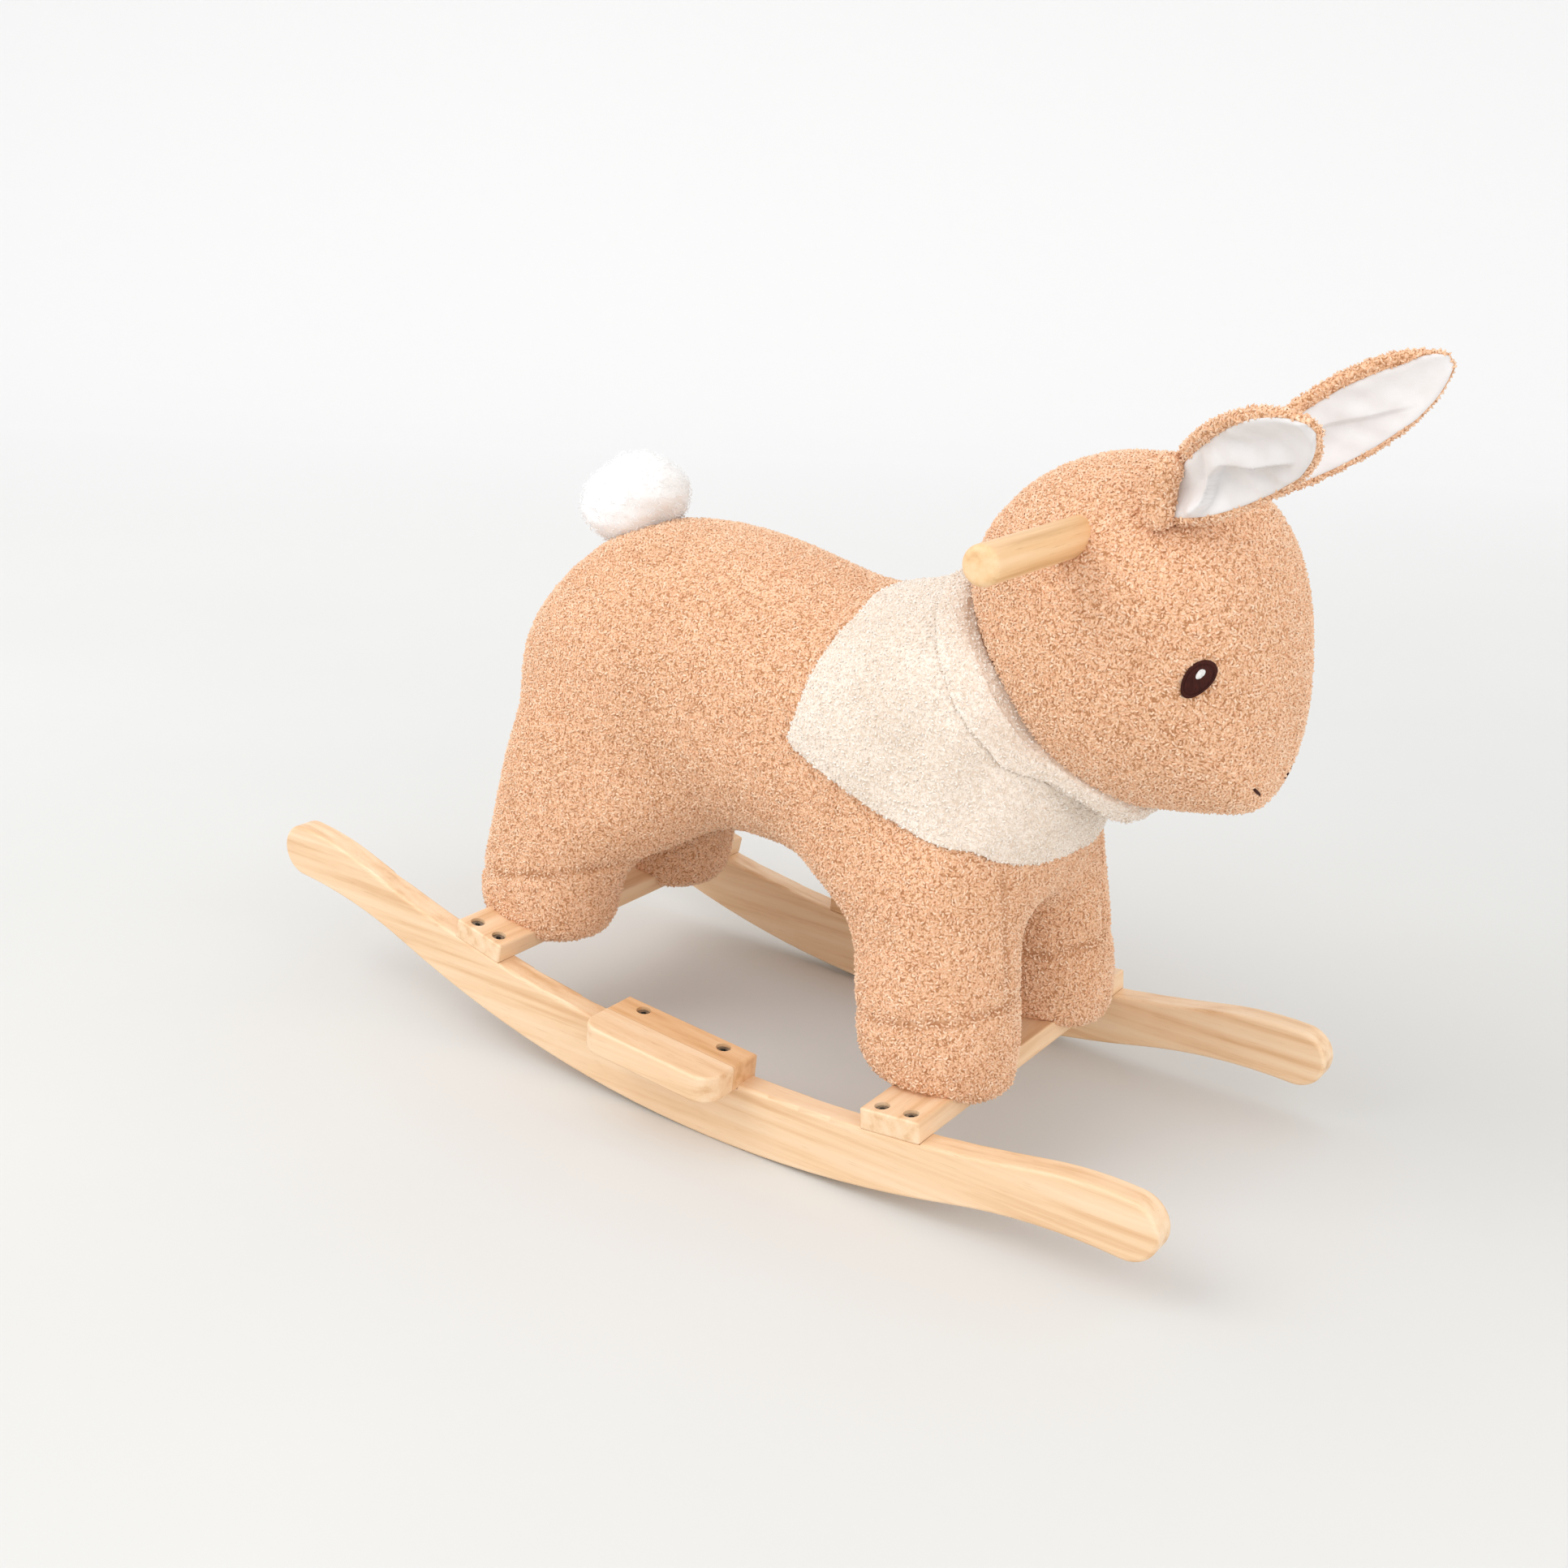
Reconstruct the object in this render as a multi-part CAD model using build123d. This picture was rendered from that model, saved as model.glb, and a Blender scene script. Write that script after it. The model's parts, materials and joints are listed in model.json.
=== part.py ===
"""Plush rabbit rocker: a stuffed animal over a wooden frame, on two bowed wooden runners.

Design frame: X forward to the nose, Y to the animal's left, Z up, with the middle of the runners' rolling
curve at the origin. Every solid is built level there, and then laid down together into the nose-heavy
attitude in which the toy comes to rest. Lengths are millimetres, angles degrees.
"""
import math
import os

from build123d import *

# Runners
ROCKER_LENGTH = 700.0
ROCKER_THICKNESS = 18.0
ROCKER_DEPTH = 46.0
TRACK_WIDTH = 272.0
ROLL_RADIUS = 735.0
TOP_RADIUS = 1050.0
TIP_RADIUS = 19.0
TIP_BEND = 106.0
ROCKER_EDGE = 2.5

# Crossbars and footrests, let into flats on the runners' upper edges
CROSSBAR_WIDTH = 41.0
CROSSBAR_THICKNESS = 14.0
CROSSBAR_EDGE = 1.5
FRONT_BAR_X = 180.0
REAR_BAR_X = -155.0
SEAT_CUT = 0.5
FOOTREST_LENGTH = 104.0
FOOTREST_WIDTH = 50.0
FOOTREST_THICKNESS = 18.0
FOOTREST_CORNER = 14.0
FOOTREST_EDGE = 2.0
FOOTREST_X = 18.0

# Socket screws: the heads sit below the wood in counterbores
SCREW_HEAD_DIAMETER = 8.6
SCREW_HEAD_HEIGHT = 4.0
SCREW_DIAMETER = 5.0
SCREW_SOCKET = 4.0
SCREW_SOCKET_DEPTH = 2.5
SCREW_CLEARANCE = 0.15
COUNTERBORE_DIAMETER = 9.6
HEAD_SINK = 2.0
WOOD_SCREW_LENGTH = 32.0
LONG_SCREW_LENGTH = 42.0
LOCK_SCREW_LENGTH = 14.0
BAR_SCREW_SPACING = 20.0
FOOTREST_SCREW_SPACING = 65.0

# Hidden frame: posts in the legs, a seat board over them and a neck board for the head
POST_LENGTH = 26.0
POST_WIDTH = 18.0
POST_HEIGHT = 187.0
POST_INSET = 18.0
POST_BACK = 6.0
SEAT_BOARD_THICKNESS = 12.0
SEAT_BOARD_MARGIN = 2.0
NECK_BOARD_THICKNESS = 15.0
NECK_BOARD_WIDTH = 56.0
NECK_FOOT_X = 157.0
NECK_SCREW_SPACING = 26.0
HANDLE_DIAMETER = 22.0
HANDLE_LENGTH = 330.0
HANDLE_EDGE = 4.0
HANDLE_BACK = 18.5
HANDLE_RISE = 57.0
HANDLE_COVER = 17.0
HANDLE_FIT = 0.05

# Stuffed forms
BODY_LENGTH = 420.0
BODY_WIDTH = 186.0
BODY_HEIGHT = 201.0
BODY_X = 2.0
HEAD_LENGTH = 200.0
HEAD_WIDTH = 160.0
HEAD_HEIGHT = 203.0
HEAD_X = 219.5
HEAD_RISE = 96.5
LEG_SPACING = 130.0
LEG_LENGTH = 108.0
LEG_WIDTH = 94.0
LEG_RISE = 167.0
LEG_TUCK = 16.0
FRONT_FOOT_DROP = 6.0
REAR_FOOT_DROP = 15.0
TAIL_DIAMETER = 70.0
TAIL_X = -155.0
TAIL_RISE = 91.0
PANEL_FULLNESS = 0.72
SOFT_GAP = 0.3

# Ears: a cupped leaf with a white lining, hung on a round root
EAR_LENGTH = 118.0
EAR_WIDTH = 50.0
EAR_THICKNESS = 7.0
EAR_CUP = 9.0
EAR_CROWN = 2.0
EAR_ROOT_RADIUS = 6.0
EAR_FORWARD = 31.0
EAR_SIDE = 45.0
EAR_GAP = 0.5
LINING_RIM = 5.0
LINING_THICKNESS = 1.4
LINING_GAP = 0.4

# Embroidery on the face, and the neckerchief
EYE_FORWARD = 67.0
EYE_RISE = 1.0
EYE_LENGTH = 22.0
EYE_HEIGHT = 12.5
EYE_TILT = 68.0
GLINT_SIZE = 5.0
GLINT_SHIFT = 3.0
STITCH_THICKNESS = 1.2
MOUTH_DROP = 74.0
MOUTH_WIDTH = 50.0
MOUTH_SAG = 12.0
MOUTH_STROKE = 2.2
SCARF_GAP = 0.6
SCARF_THICKNESS = 4.0

# Nose-down attitude in which the toy rests
REST_LEAN = 4.5

# Rows of a form: share along its length, lift of the section, and the section's height and width as
# shares of the form's own height and width.
BODY_FORM = (
    (0.000, -0.164, 0.328, 0.366),
    (0.021, -0.154, 0.587, 0.645),
    (0.086, -0.117, 0.801, 0.86),
    (0.143, -0.08, 0.915, 0.946),
    (0.236, -0.052, 0.99, 1.0),
    (0.352, -0.037, 1.0, 0.989),
    (0.495, -0.052, 0.98, 0.946),
    (0.614, -0.057, 0.95, 0.925),
    (0.745, -0.01, 0.985, 0.935),
    (0.864, 0.03, 0.856, 0.882),
    (0.948, -0.025, 0.607, 0.71),
    (1.000, -0.045, 0.269, 0.409),
)
HEAD_FORM = (
    (0.000, 0.096, 0.197, 0.227),
    (0.047, 0.047, 0.414, 0.455),
    (0.167, 0.028, 0.72, 0.716),
    (0.316, 0.01, 0.91, 0.898),
    (0.488, 0.0, 1.0, 1.0),
    (0.665, -0.01, 0.98, 1.0),
    (0.805, -0.025, 0.872, 0.909),
    (0.916, -0.100, 0.685, 0.735),
    (0.972, -0.182, 0.465, 0.545),
    (1.000, -0.230, 0.26, 0.31),
)
# Rows of a leg: share of its rise, fore-and-aft shift from its crossbar, length and width as shares.
FRONT_LEG_FORM = (
    (0.00, -11.0, 0.76, 0.77),
    (0.05, -11.0, 0.94, 0.94),
    (0.16, -13.0, 1.0, 1.0),
    (0.35, -21.0, 0.96, 0.96),
    (0.58, -28.0, 0.94, 0.94),
    (0.82, -33.0, 0.92, 0.90),
    (1.00, -35.0, 0.81, 0.77),
)
REAR_LEG_FORM = (
    (0.00, 1.0, 0.78, 0.76),
    (0.05, 1.0, 0.93, 0.92),
    (0.18, -1.0, 0.94, 0.98),
    (0.33, 3.0, 0.91, 0.96),
    (0.57, 9.0, 0.93, 0.98),
    (0.80, 15.0, 1.0, 0.98),
    (1.00, 20.0, 0.85, 0.81),
)
# Rows of an ear: share along it, width, thickness and cup as shares of its own sizes.
EAR_FORM = (
    (0.00, 0.70, 0.95, 0.08),
    (0.12, 0.82, 0.95, 0.45),
    (0.32, 0.95, 1.0, 0.90),
    (0.52, 1.0, 1.0, 1.0),
    (0.73, 0.86, 0.95, 0.75),
    (0.90, 0.52, 0.85, 0.40),
    (1.00, 0.20, 0.75, 0.10),
)
# Each ear's direction and the way its lining faces, as it hangs.
EAR_POSES = {
    "right": (Vector(0.675, -0.54, 0.445), Vector(-0.15, -0.80, -0.60)),
    "left": (Vector(0.655, 0.439, 0.605), Vector(0.50, -0.83, 0.05)),
}
# Outline of the neckerchief seen from the right, as distances from the head's middle.
SCARF_FLAP = (
    (-172, -104), (-136, -14), (-84, 38), (-80, 0), (-52, -46),
    (-20, -78), (14, -94), (22, -112), (-22, -142), (-96, -140),
)
SCARF_BAND = (
    (-157, -14), (-84, 38), (-80, 0), (-52, -46), (-20, -78),
    (14, -94), (22, -112), (-22, -142), (-90, -95), (-130, -55),
)
SIDES = {"right": -1.0, "left": 1.0}
STANDING = (Align.CENTER, Align.CENTER, Align.MIN)
HANGING = (Align.CENTER, Align.CENTER, Align.MAX)


class Level:
    """Heights and places that follow from the driving dimensions."""

    bar_angle = {x: math.asin(x / TOP_RADIUS) for x in (FRONT_BAR_X, REAR_BAR_X)}
    rocker_y = TRACK_WIDTH / 2 - ROCKER_THICKNESS / 2
    footrest_z = ROCKER_DEPTH - SEAT_CUT
    leg_y = LEG_SPACING / 2
    post_y = LEG_SPACING / 2 - POST_INSET


def bar_plane(bar_x):
    """Plane on a crossbar's underside: X along the runner's slope, Z out of the wood."""
    angle = Level.bar_angle[bar_x]
    normal = Vector(-math.sin(angle), 0, math.cos(angle))
    foot = Vector(bar_x, 0, ROCKER_DEPTH + TOP_RADIUS * (1 - math.cos(angle)))
    return Plane(foot - normal * SEAT_CUT, x_dir=(math.cos(angle), 0, math.sin(angle)), z_dir=normal)


def bar_top(bar_x):
    """Height of the middle of a crossbar's upper face."""
    return (bar_plane(bar_x) * Pos(0, 0, CROSSBAR_THICKNESS)).position.Z


def seat_z():
    """Height of the seat board's underside, which the forms hang from."""
    return bar_top(FRONT_BAR_X) + POST_HEIGHT


def head_centre():
    """Middle of the head."""
    return Vector(HEAD_X, 0, seat_z() + HEAD_RISE)


def handle_centre():
    """Middle of the grip bar."""
    return head_centre() + Vector(-HANDLE_BACK, 0, HANDLE_RISE)


def rocker_outline():
    """Closed side view of a runner: rolling arc, reversed arc, round tip, and back over the top."""
    tip_x = ROCKER_LENGTH / 2 - TIP_RADIUS
    bend_x = tip_x - TIP_BEND
    bend = math.degrees(math.asin(bend_x / ROLL_RADIUS))
    bend_z = ROLL_RADIUS * (1 - math.cos(math.radians(bend)))
    reverse_radius = TIP_BEND / math.sin(math.radians(bend))
    low_z = bend_z + reverse_radius * (1 - math.cos(math.radians(bend)))
    high_z = low_z + 2 * TIP_RADIUS
    drop = ROCKER_DEPTH + TOP_RADIUS - high_z
    crown_radius = (tip_x**2 + drop**2 - TOP_RADIUS**2) / (2 * (TOP_RADIUS - drop))
    crown = math.degrees(math.asin(tip_x / (TOP_RADIUS + crown_radius)))
    half = [
        CenterArc((tip_x, low_z - reverse_radius), reverse_radius, 90, bend),
        CenterArc((tip_x, low_z + TIP_RADIUS), TIP_RADIUS, -90, 90),
        CenterArc((tip_x, low_z + TIP_RADIUS), TIP_RADIUS, 0, 90),
        CenterArc((tip_x, high_z - crown_radius), crown_radius, 90, crown),
    ]
    middle = [
        CenterArc((0, ROLL_RADIUS), ROLL_RADIUS, 270 - bend, 2 * bend),
        CenterArc((0, ROCKER_DEPTH + TOP_RADIUS), TOP_RADIUS, 270 - crown, 2 * crown),
    ]
    mirrored = [edge.mirror(Plane.YZ) for edge in half]
    return make_face(Wire(middle + half + mirrored))


def rocker(side):
    """Runner board with rounded edges, flats for what stands on it and its pilot holes."""
    y = SIDES[side] * Level.rocker_y
    board = extrude(Plane.XZ.offset(-y) * rocker_outline(), ROCKER_THICKNESS / 2, both=True)
    board = fillet(board.edges().filter_by(Plane.XZ), ROCKER_EDGE)
    for bar_x in (FRONT_BAR_X, REAR_BAR_X):
        board -= bar_blank(bar_x)
    return board - footrest_blank(side)


def bar_blank(bar_x):
    """Crossbar as a square-edged block, which also cuts its seat in the runners."""
    blank = Box(CROSSBAR_WIDTH, TRACK_WIDTH, CROSSBAR_THICKNESS, align=STANDING)
    return bar_plane(bar_x) * blank


def crossbar(bar_x):
    """Crossbar with eased edges."""
    blank = bar_blank(bar_x)
    return fillet(blank.edges(), CROSSBAR_EDGE)


def footrest_blank(side):
    """Footrest with round outer corners, its inner edge in line with the runner's inner face."""
    inner = TRACK_WIDTH / 2 - ROCKER_THICKNESS
    plan = Rectangle(FOOTREST_LENGTH, FOOTREST_WIDTH)
    plan = fillet(plan.vertices().group_by(Axis.Y)[-1], FOOTREST_CORNER)
    plan = Pos(FOOTREST_X, inner + FOOTREST_WIDTH / 2) * plan
    block = Pos(0, 0, Level.footrest_z) * extrude(plan, FOOTREST_THICKNESS)
    return block if side == "left" else mirror(block, Plane.XZ)


def footrest(side):
    """Footrest with eased edges above and below."""
    block = footrest_blank(side)
    rims = block.faces().sort_by(Axis.Z)
    return fillet(rims[0].edges() + rims[-1].edges(), FOOTREST_EDGE)


def screw(length):
    """Socket screw along -Z, its head's top at the origin."""
    head = Cylinder(SCREW_HEAD_DIAMETER / 2, SCREW_HEAD_HEIGHT, align=HANGING)
    shank = Cylinder(SCREW_DIAMETER / 2, length, align=HANGING)
    socket = extrude(RegularPolygon(SCREW_SOCKET / 2, 6), -SCREW_SOCKET_DEPTH)
    return head + Pos(0, 0, -SCREW_HEAD_HEIGHT) * shank - socket


def screw_bore(length):
    """Counterbore, open upwards, and shank hole for a screw of that length."""
    counterbore = Cylinder(COUNTERBORE_DIAMETER / 2, CROSSBAR_THICKNESS, align=STANDING)
    hole_length = length + SCREW_CLEARANCE
    hole_radius = SCREW_DIAMETER / 2 + SCREW_CLEARANCE
    hole = Cylinder(hole_radius, hole_length, align=HANGING)
    return Pos(0, 0, -SCREW_HEAD_HEIGHT) * (counterbore + hole)


def bar_screw_places(bar_x):
    """Two screws into each runner through a crossbar."""
    top = bar_plane(bar_x) * Pos(0, 0, CROSSBAR_THICKNESS - HEAD_SINK)
    spread = BAR_SCREW_SPACING / 2
    return [top * Pos(x, y * Level.rocker_y, 0) for y in SIDES.values() for x in (-spread, spread)]


def footrest_screw_places():
    """Two screws into each runner through its footrest."""
    z = Level.footrest_z + FOOTREST_THICKNESS - HEAD_SINK
    spread = FOOTREST_SCREW_SPACING / 2
    return [
        Pos(FOOTREST_X + x, y * Level.rocker_y, z) for y in SIDES.values() for x in (-spread, spread)
    ]


def post_x(bar_x):
    """Where a post stands: over its crossbar, a little towards the middle of the toy."""
    return bar_x - math.copysign(POST_BACK, bar_x)


def post_screw_places():
    """One screw up into each post from under its crossbar."""
    places = []
    for bar_x in (FRONT_BAR_X, REAR_BAR_X):
        under = bar_plane(bar_x) * Pos(post_x(bar_x) - bar_x, 0, HEAD_SINK) * Rot(180, 0, 0)
        places += [under * Pos(0, y * Level.post_y, 0) for y in SIDES.values()]
    return places


def seat_screw_places():
    """One screw down through the seat board into each post."""
    z = seat_z() + SEAT_BOARD_THICKNESS
    return [Pos(post_x(x), y * Level.post_y, z) for x in (FRONT_BAR_X, REAR_BAR_X) for y in SIDES.values()]


def neck_screw_places():
    """Two screws up through the seat board into the neck board."""
    spread = NECK_SCREW_SPACING / 2
    return [Pos(NECK_FOOT_X + x, 0, seat_z()) * Rot(180, 0, 0) for x in (-spread, spread)]


def lock_screw_places():
    """One screw down through the neck board's top edge into the grip bar."""
    return [Pos(*handle_centre()) * Pos(0, 0, HANDLE_COVER)]


def post(bar_x, side, grow=0.0):
    """Post from a crossbar's upper face to the seat board."""
    foot_z = bar_top(bar_x) - CROSSBAR_WIDTH / 2
    height = seat_z() - foot_z
    length, width = POST_LENGTH + 2 * grow, POST_WIDTH + 2 * grow
    block = Box(length, width, height + grow, align=STANDING)
    block = Pos(post_x(bar_x), SIDES[side] * Level.post_y, foot_z) * block
    if grow:
        return block
    under = Box(2 * CROSSBAR_WIDTH, TRACK_WIDTH, 2 * CROSSBAR_WIDTH, align=HANGING)
    return block - bar_plane(bar_x) * Pos(0, 0, CROSSBAR_THICKNESS) * under


def seat_board(grow=0.0):
    """Board over the four posts."""
    rear = post_x(REAR_BAR_X) - POST_LENGTH / 2 - SEAT_BOARD_MARGIN
    front = post_x(FRONT_BAR_X) + POST_LENGTH / 2 + SEAT_BOARD_MARGIN
    width = 2 * Level.post_y + POST_WIDTH + 2 * SEAT_BOARD_MARGIN
    board = Box(front - rear + 2 * grow, width + 2 * grow, SEAT_BOARD_THICKNESS + 2 * grow)
    return Pos((front + rear) / 2, 0, seat_z() + SEAT_BOARD_THICKNESS / 2) * board


def neck_board(grow=0.0):
    """Leaning board from the seat board to just over the grip bar."""
    foot = Vector(NECK_FOOT_X, 0, seat_z() + SEAT_BOARD_THICKNESS)
    grip = handle_centre()
    lean = (grip.X - foot.X) / (grip.Z - foot.Z)
    top_z = grip.Z + HANDLE_COVER + grow
    top_x = foot.X + lean * (top_z - foot.Z)
    half = NECK_BOARD_WIDTH / 2 + grow
    low = [(foot.X - half, foot.Z), (foot.X + half, foot.Z)]
    high = [(top_x + half, top_z), (top_x - half, top_z)]
    plan = Plane.XZ * make_face(Polyline(*low, *high, close=True))
    board = extrude(plan, NECK_BOARD_THICKNESS / 2 + grow, both=True)
    if grow:
        return board
    grip_hole = Cylinder(HANDLE_DIAMETER / 2 + HANDLE_FIT, 2 * NECK_BOARD_THICKNESS)
    return board - Pos(*grip) * Rot(90, 0, 0) * grip_hole


def handle_dowel(grow=0.0):
    """Grip bar across the head, with rounded ends."""
    bar = Cylinder(HANDLE_DIAMETER / 2 + grow, HANDLE_LENGTH)
    if not grow:
        bar = fillet(bar.edges(), HANDLE_EDGE)
    return Pos(*handle_centre()) * Rot(90, 0, 0) * bar


def soft_section(half_width, half_height):
    """Section of a stuffed form: four panels that swell between their seams."""
    right, top = Vector(half_width, 0), Vector(0, half_height)
    arcs = []
    for first, second in ((right, top), (top, -right), (-right, -top), (-top, right)):
        arcs.append(ThreePointArc(first, (first + second) * PANEL_FULLNESS, second))
    return make_face(Wire(arcs))


def soft_form(rows, length, height, width, centre, grow=0.0):
    """Stuffed form lofted along X through the rows, its middle at centre, swollen by grow."""
    sections = []
    for along, lift, height_share, width_share in rows:
        x = centre.X + (along - 0.5) * length
        x += grow if along == 1.0 else -grow if along == 0.0 else 0.0
        plane = Plane((x, 0, centre.Z + lift * height), x_dir=(0, 1, 0), z_dir=(1, 0, 0))
        section = soft_section(width_share * width / 2 + grow, height_share * height / 2 + grow)
        sections.append(plane * section)
    return loft(sections)


def body_form(grow=0.0):
    """Trunk of the animal, from rump to chest."""
    return soft_form(BODY_FORM, BODY_LENGTH, BODY_HEIGHT, BODY_WIDTH, Vector(BODY_X, 0, seat_z()), grow)


def head_form(grow=0.0):
    """Head, with the fuller muzzle low at the front."""
    return soft_form(HEAD_FORM, HEAD_LENGTH, HEAD_HEIGHT, HEAD_WIDTH, head_centre(), grow)


def leg_form(rows, bar_x, side, grow=0.0):
    """Leg lofted upwards from the foot on its crossbar, leaning in under the trunk."""
    drop = FRONT_FOOT_DROP if bar_x == FRONT_BAR_X else REAR_FOOT_DROP
    rise = LEG_RISE + drop
    sections = []
    for along, shift, length_share, width_share in rows:
        z = bar_top(bar_x) - drop + along * rise
        y = SIDES[side] * (Level.leg_y - LEG_TUCK * along**2)
        plane = Plane((bar_x + shift, y, z), x_dir=(1, 0, 0), z_dir=(0, 0, 1))
        half_length = length_share * LEG_LENGTH / 2 + grow
        sections.append(plane * soft_section(half_length, width_share * LEG_WIDTH / 2 + grow))
    return loft(sections)


def leg(rows, bar_x, side):
    """Leg cut by the trunk, by the crossbar that it sits on and by its post."""
    seat = Box(CROSSBAR_WIDTH + 2 * SOFT_GAP, TRACK_WIDTH, 2 * CROSSBAR_THICKNESS)
    seat = bar_plane(bar_x) * Pos(0, 0, SOFT_GAP) * seat
    return leg_form(rows, bar_x, side) - body_form(SOFT_GAP) - seat - post(bar_x, side, SOFT_GAP)


def frame_pockets():
    """Room for the hidden frame inside the stuffed forms."""
    pockets = seat_board(SOFT_GAP) + neck_board(SOFT_GAP)
    for bar_x in (FRONT_BAR_X, REAR_BAR_X):
        for side in SIDES:
            pockets += post(bar_x, side, SOFT_GAP)
    return pockets


def ear_frame(side):
    """Plane at an ear's root: X across the leaf, Y out of its lining, Z along it."""
    along, facing = EAR_POSES[side]
    along = along.normalized()
    facing = (facing - along * facing.dot(along)).normalized()
    across = facing.cross(along)
    head = head_form()
    foot = head_centre() + Vector(EAR_FORWARD, SIDES[side] * EAR_SIDE, 0)
    probe = Edge.make_line(foot, foot + Vector(0, 0, HEAD_HEIGHT))
    crown = Vector(*(probe & head).vertices().sort_by(Axis.Z)[-1])
    outward = (crown - head_centre()).normalized()
    root = crown + outward * (3 * EAR_ROOT_RADIUS)
    for _ in range(4):
        near = ear(Plane(root, x_dir=across, z_dir=along))
        root -= outward * (head.distance_to(near) - EAR_GAP)
    return Plane(root, x_dir=across, z_dir=along)


def ear_root(plane):
    """Round root across the foot of an ear, on which it turns."""
    width = EAR_FORM[0][1] * EAR_WIDTH
    return plane * Rot(0, 90, 0) * Cylinder(EAR_ROOT_RADIUS, width)


def leaf_section(half_width, front_edge, front_mid, back_edge, back_mid):
    """Crescent section of an ear: two short edges, a hollow front and a round back."""
    front = ThreePointArc((half_width, front_edge), (0, front_mid), (-half_width, front_edge))
    back = ThreePointArc((-half_width, back_edge), (0, back_mid), (half_width, back_edge))
    return make_face(Wire([front, Line(front @ 1, back @ 0), back, Line(back @ 1, front @ 0)]))


def ear(plane):
    """Plush leaf on its round root."""
    sections = []
    for along, width_share, thickness_share, cup_share in EAR_FORM:
        half = EAR_THICKNESS * thickness_share / 2
        cup = EAR_CUP * cup_share
        back = -half - cup - EAR_CROWN * cup_share
        section = leaf_section(EAR_WIDTH * width_share / 2, half, half - cup, -half, back)
        sections.append(plane.offset(along * EAR_LENGTH) * section)
    return loft(sections) + ear_root(plane)


def ear_lining(plane):
    """Thin white lining laid in the hollow of an ear, inside its rim."""
    sections = []
    for along, width_share, thickness_share, cup_share in EAR_FORM[1:-1]:
        half_width = EAR_WIDTH * width_share / 2
        inner = half_width - LINING_RIM
        cup = EAR_CUP * cup_share
        hollow = EAR_THICKNESS * thickness_share / 2 - cup + LINING_GAP
        edge = hollow + cup * (inner / half_width) ** 2
        section = leaf_section(inner, edge + LINING_THICKNESS, hollow + LINING_THICKNESS, edge, hollow)
        sections.append(plane.offset(along * EAR_LENGTH) * section)
    return loft(sections)


def stitched(profile, reach, base=SOFT_GAP):
    """Embroidery on the head: the part of a thin skin over it that lies within a profile's extrusion."""
    skin = head_form(base + STITCH_THICKNESS) - head_form(base)
    return skin & extrude(profile, reach)


def eye_profile(side, width, height, shift=0.0):
    """Upright profile beside the head, its long axis rising to the front."""
    place = head_centre() + Vector(EYE_FORWARD, SIDES[side] * HEAD_WIDTH / 8, EYE_RISE)
    plane = Plane(place, x_dir=(1, 0, 0), z_dir=(0, SIDES[side], 0))
    tilt = -EYE_TILT if side == "left" else EYE_TILT
    return plane * Rot(0, 0, tilt) * Pos(shift, 0) * soft_section(width / 2, height / 2)


def eye(side):
    """Dark embroidered eye."""
    return stitched(eye_profile(side, EYE_LENGTH, EYE_HEIGHT), HEAD_WIDTH)


def eye_glint(side):
    """White highlight sewn over the eye."""
    profile = eye_profile(side, GLINT_SIZE, GLINT_SIZE, GLINT_SHIFT)
    return stitched(profile, HEAD_WIDTH, 2 * SOFT_GAP + STITCH_THICKNESS)


def mouth():
    """Short smiling stitch low on the muzzle."""
    plane = Plane(head_centre() + Vector(0, 0, -MOUTH_DROP), x_dir=(0, 1, 0), z_dir=(1, 0, 0))
    half = MOUTH_WIDTH / 2
    smile = ThreePointArc((-half, MOUTH_SAG), (0, 0), (half, MOUTH_SAG))
    return stitched(plane * SlotArc(smile, MOUTH_STROKE), HEAD_LENGTH)


def neckerchief():
    """Cloth over the neck: a flap down the right flank and a narrower band round the left."""
    skin = draped(SCARF_GAP + SCARF_THICKNESS) - draped(SCARF_GAP)
    centre = head_centre()
    side_view = Plane((centre.X, 0, centre.Z), x_dir=(1, 0, 0), z_dir=(0, -1, 0))
    flap = extrude(side_view * make_face(Polyline(*SCARF_FLAP, close=True)), BODY_WIDTH)
    band = extrude(side_view * make_face(Polyline(*SCARF_BAND, close=True)), -BODY_WIDTH)
    return skin & (flap + band)


def draped(grow):
    """What the neckerchief lies on, swollen by grow."""
    forms = body_form(grow) + head_form(grow)
    for side in SIDES:
        forms += leg_form(FRONT_LEG_FORM, FRONT_BAR_X, side, grow)
    return forms


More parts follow.
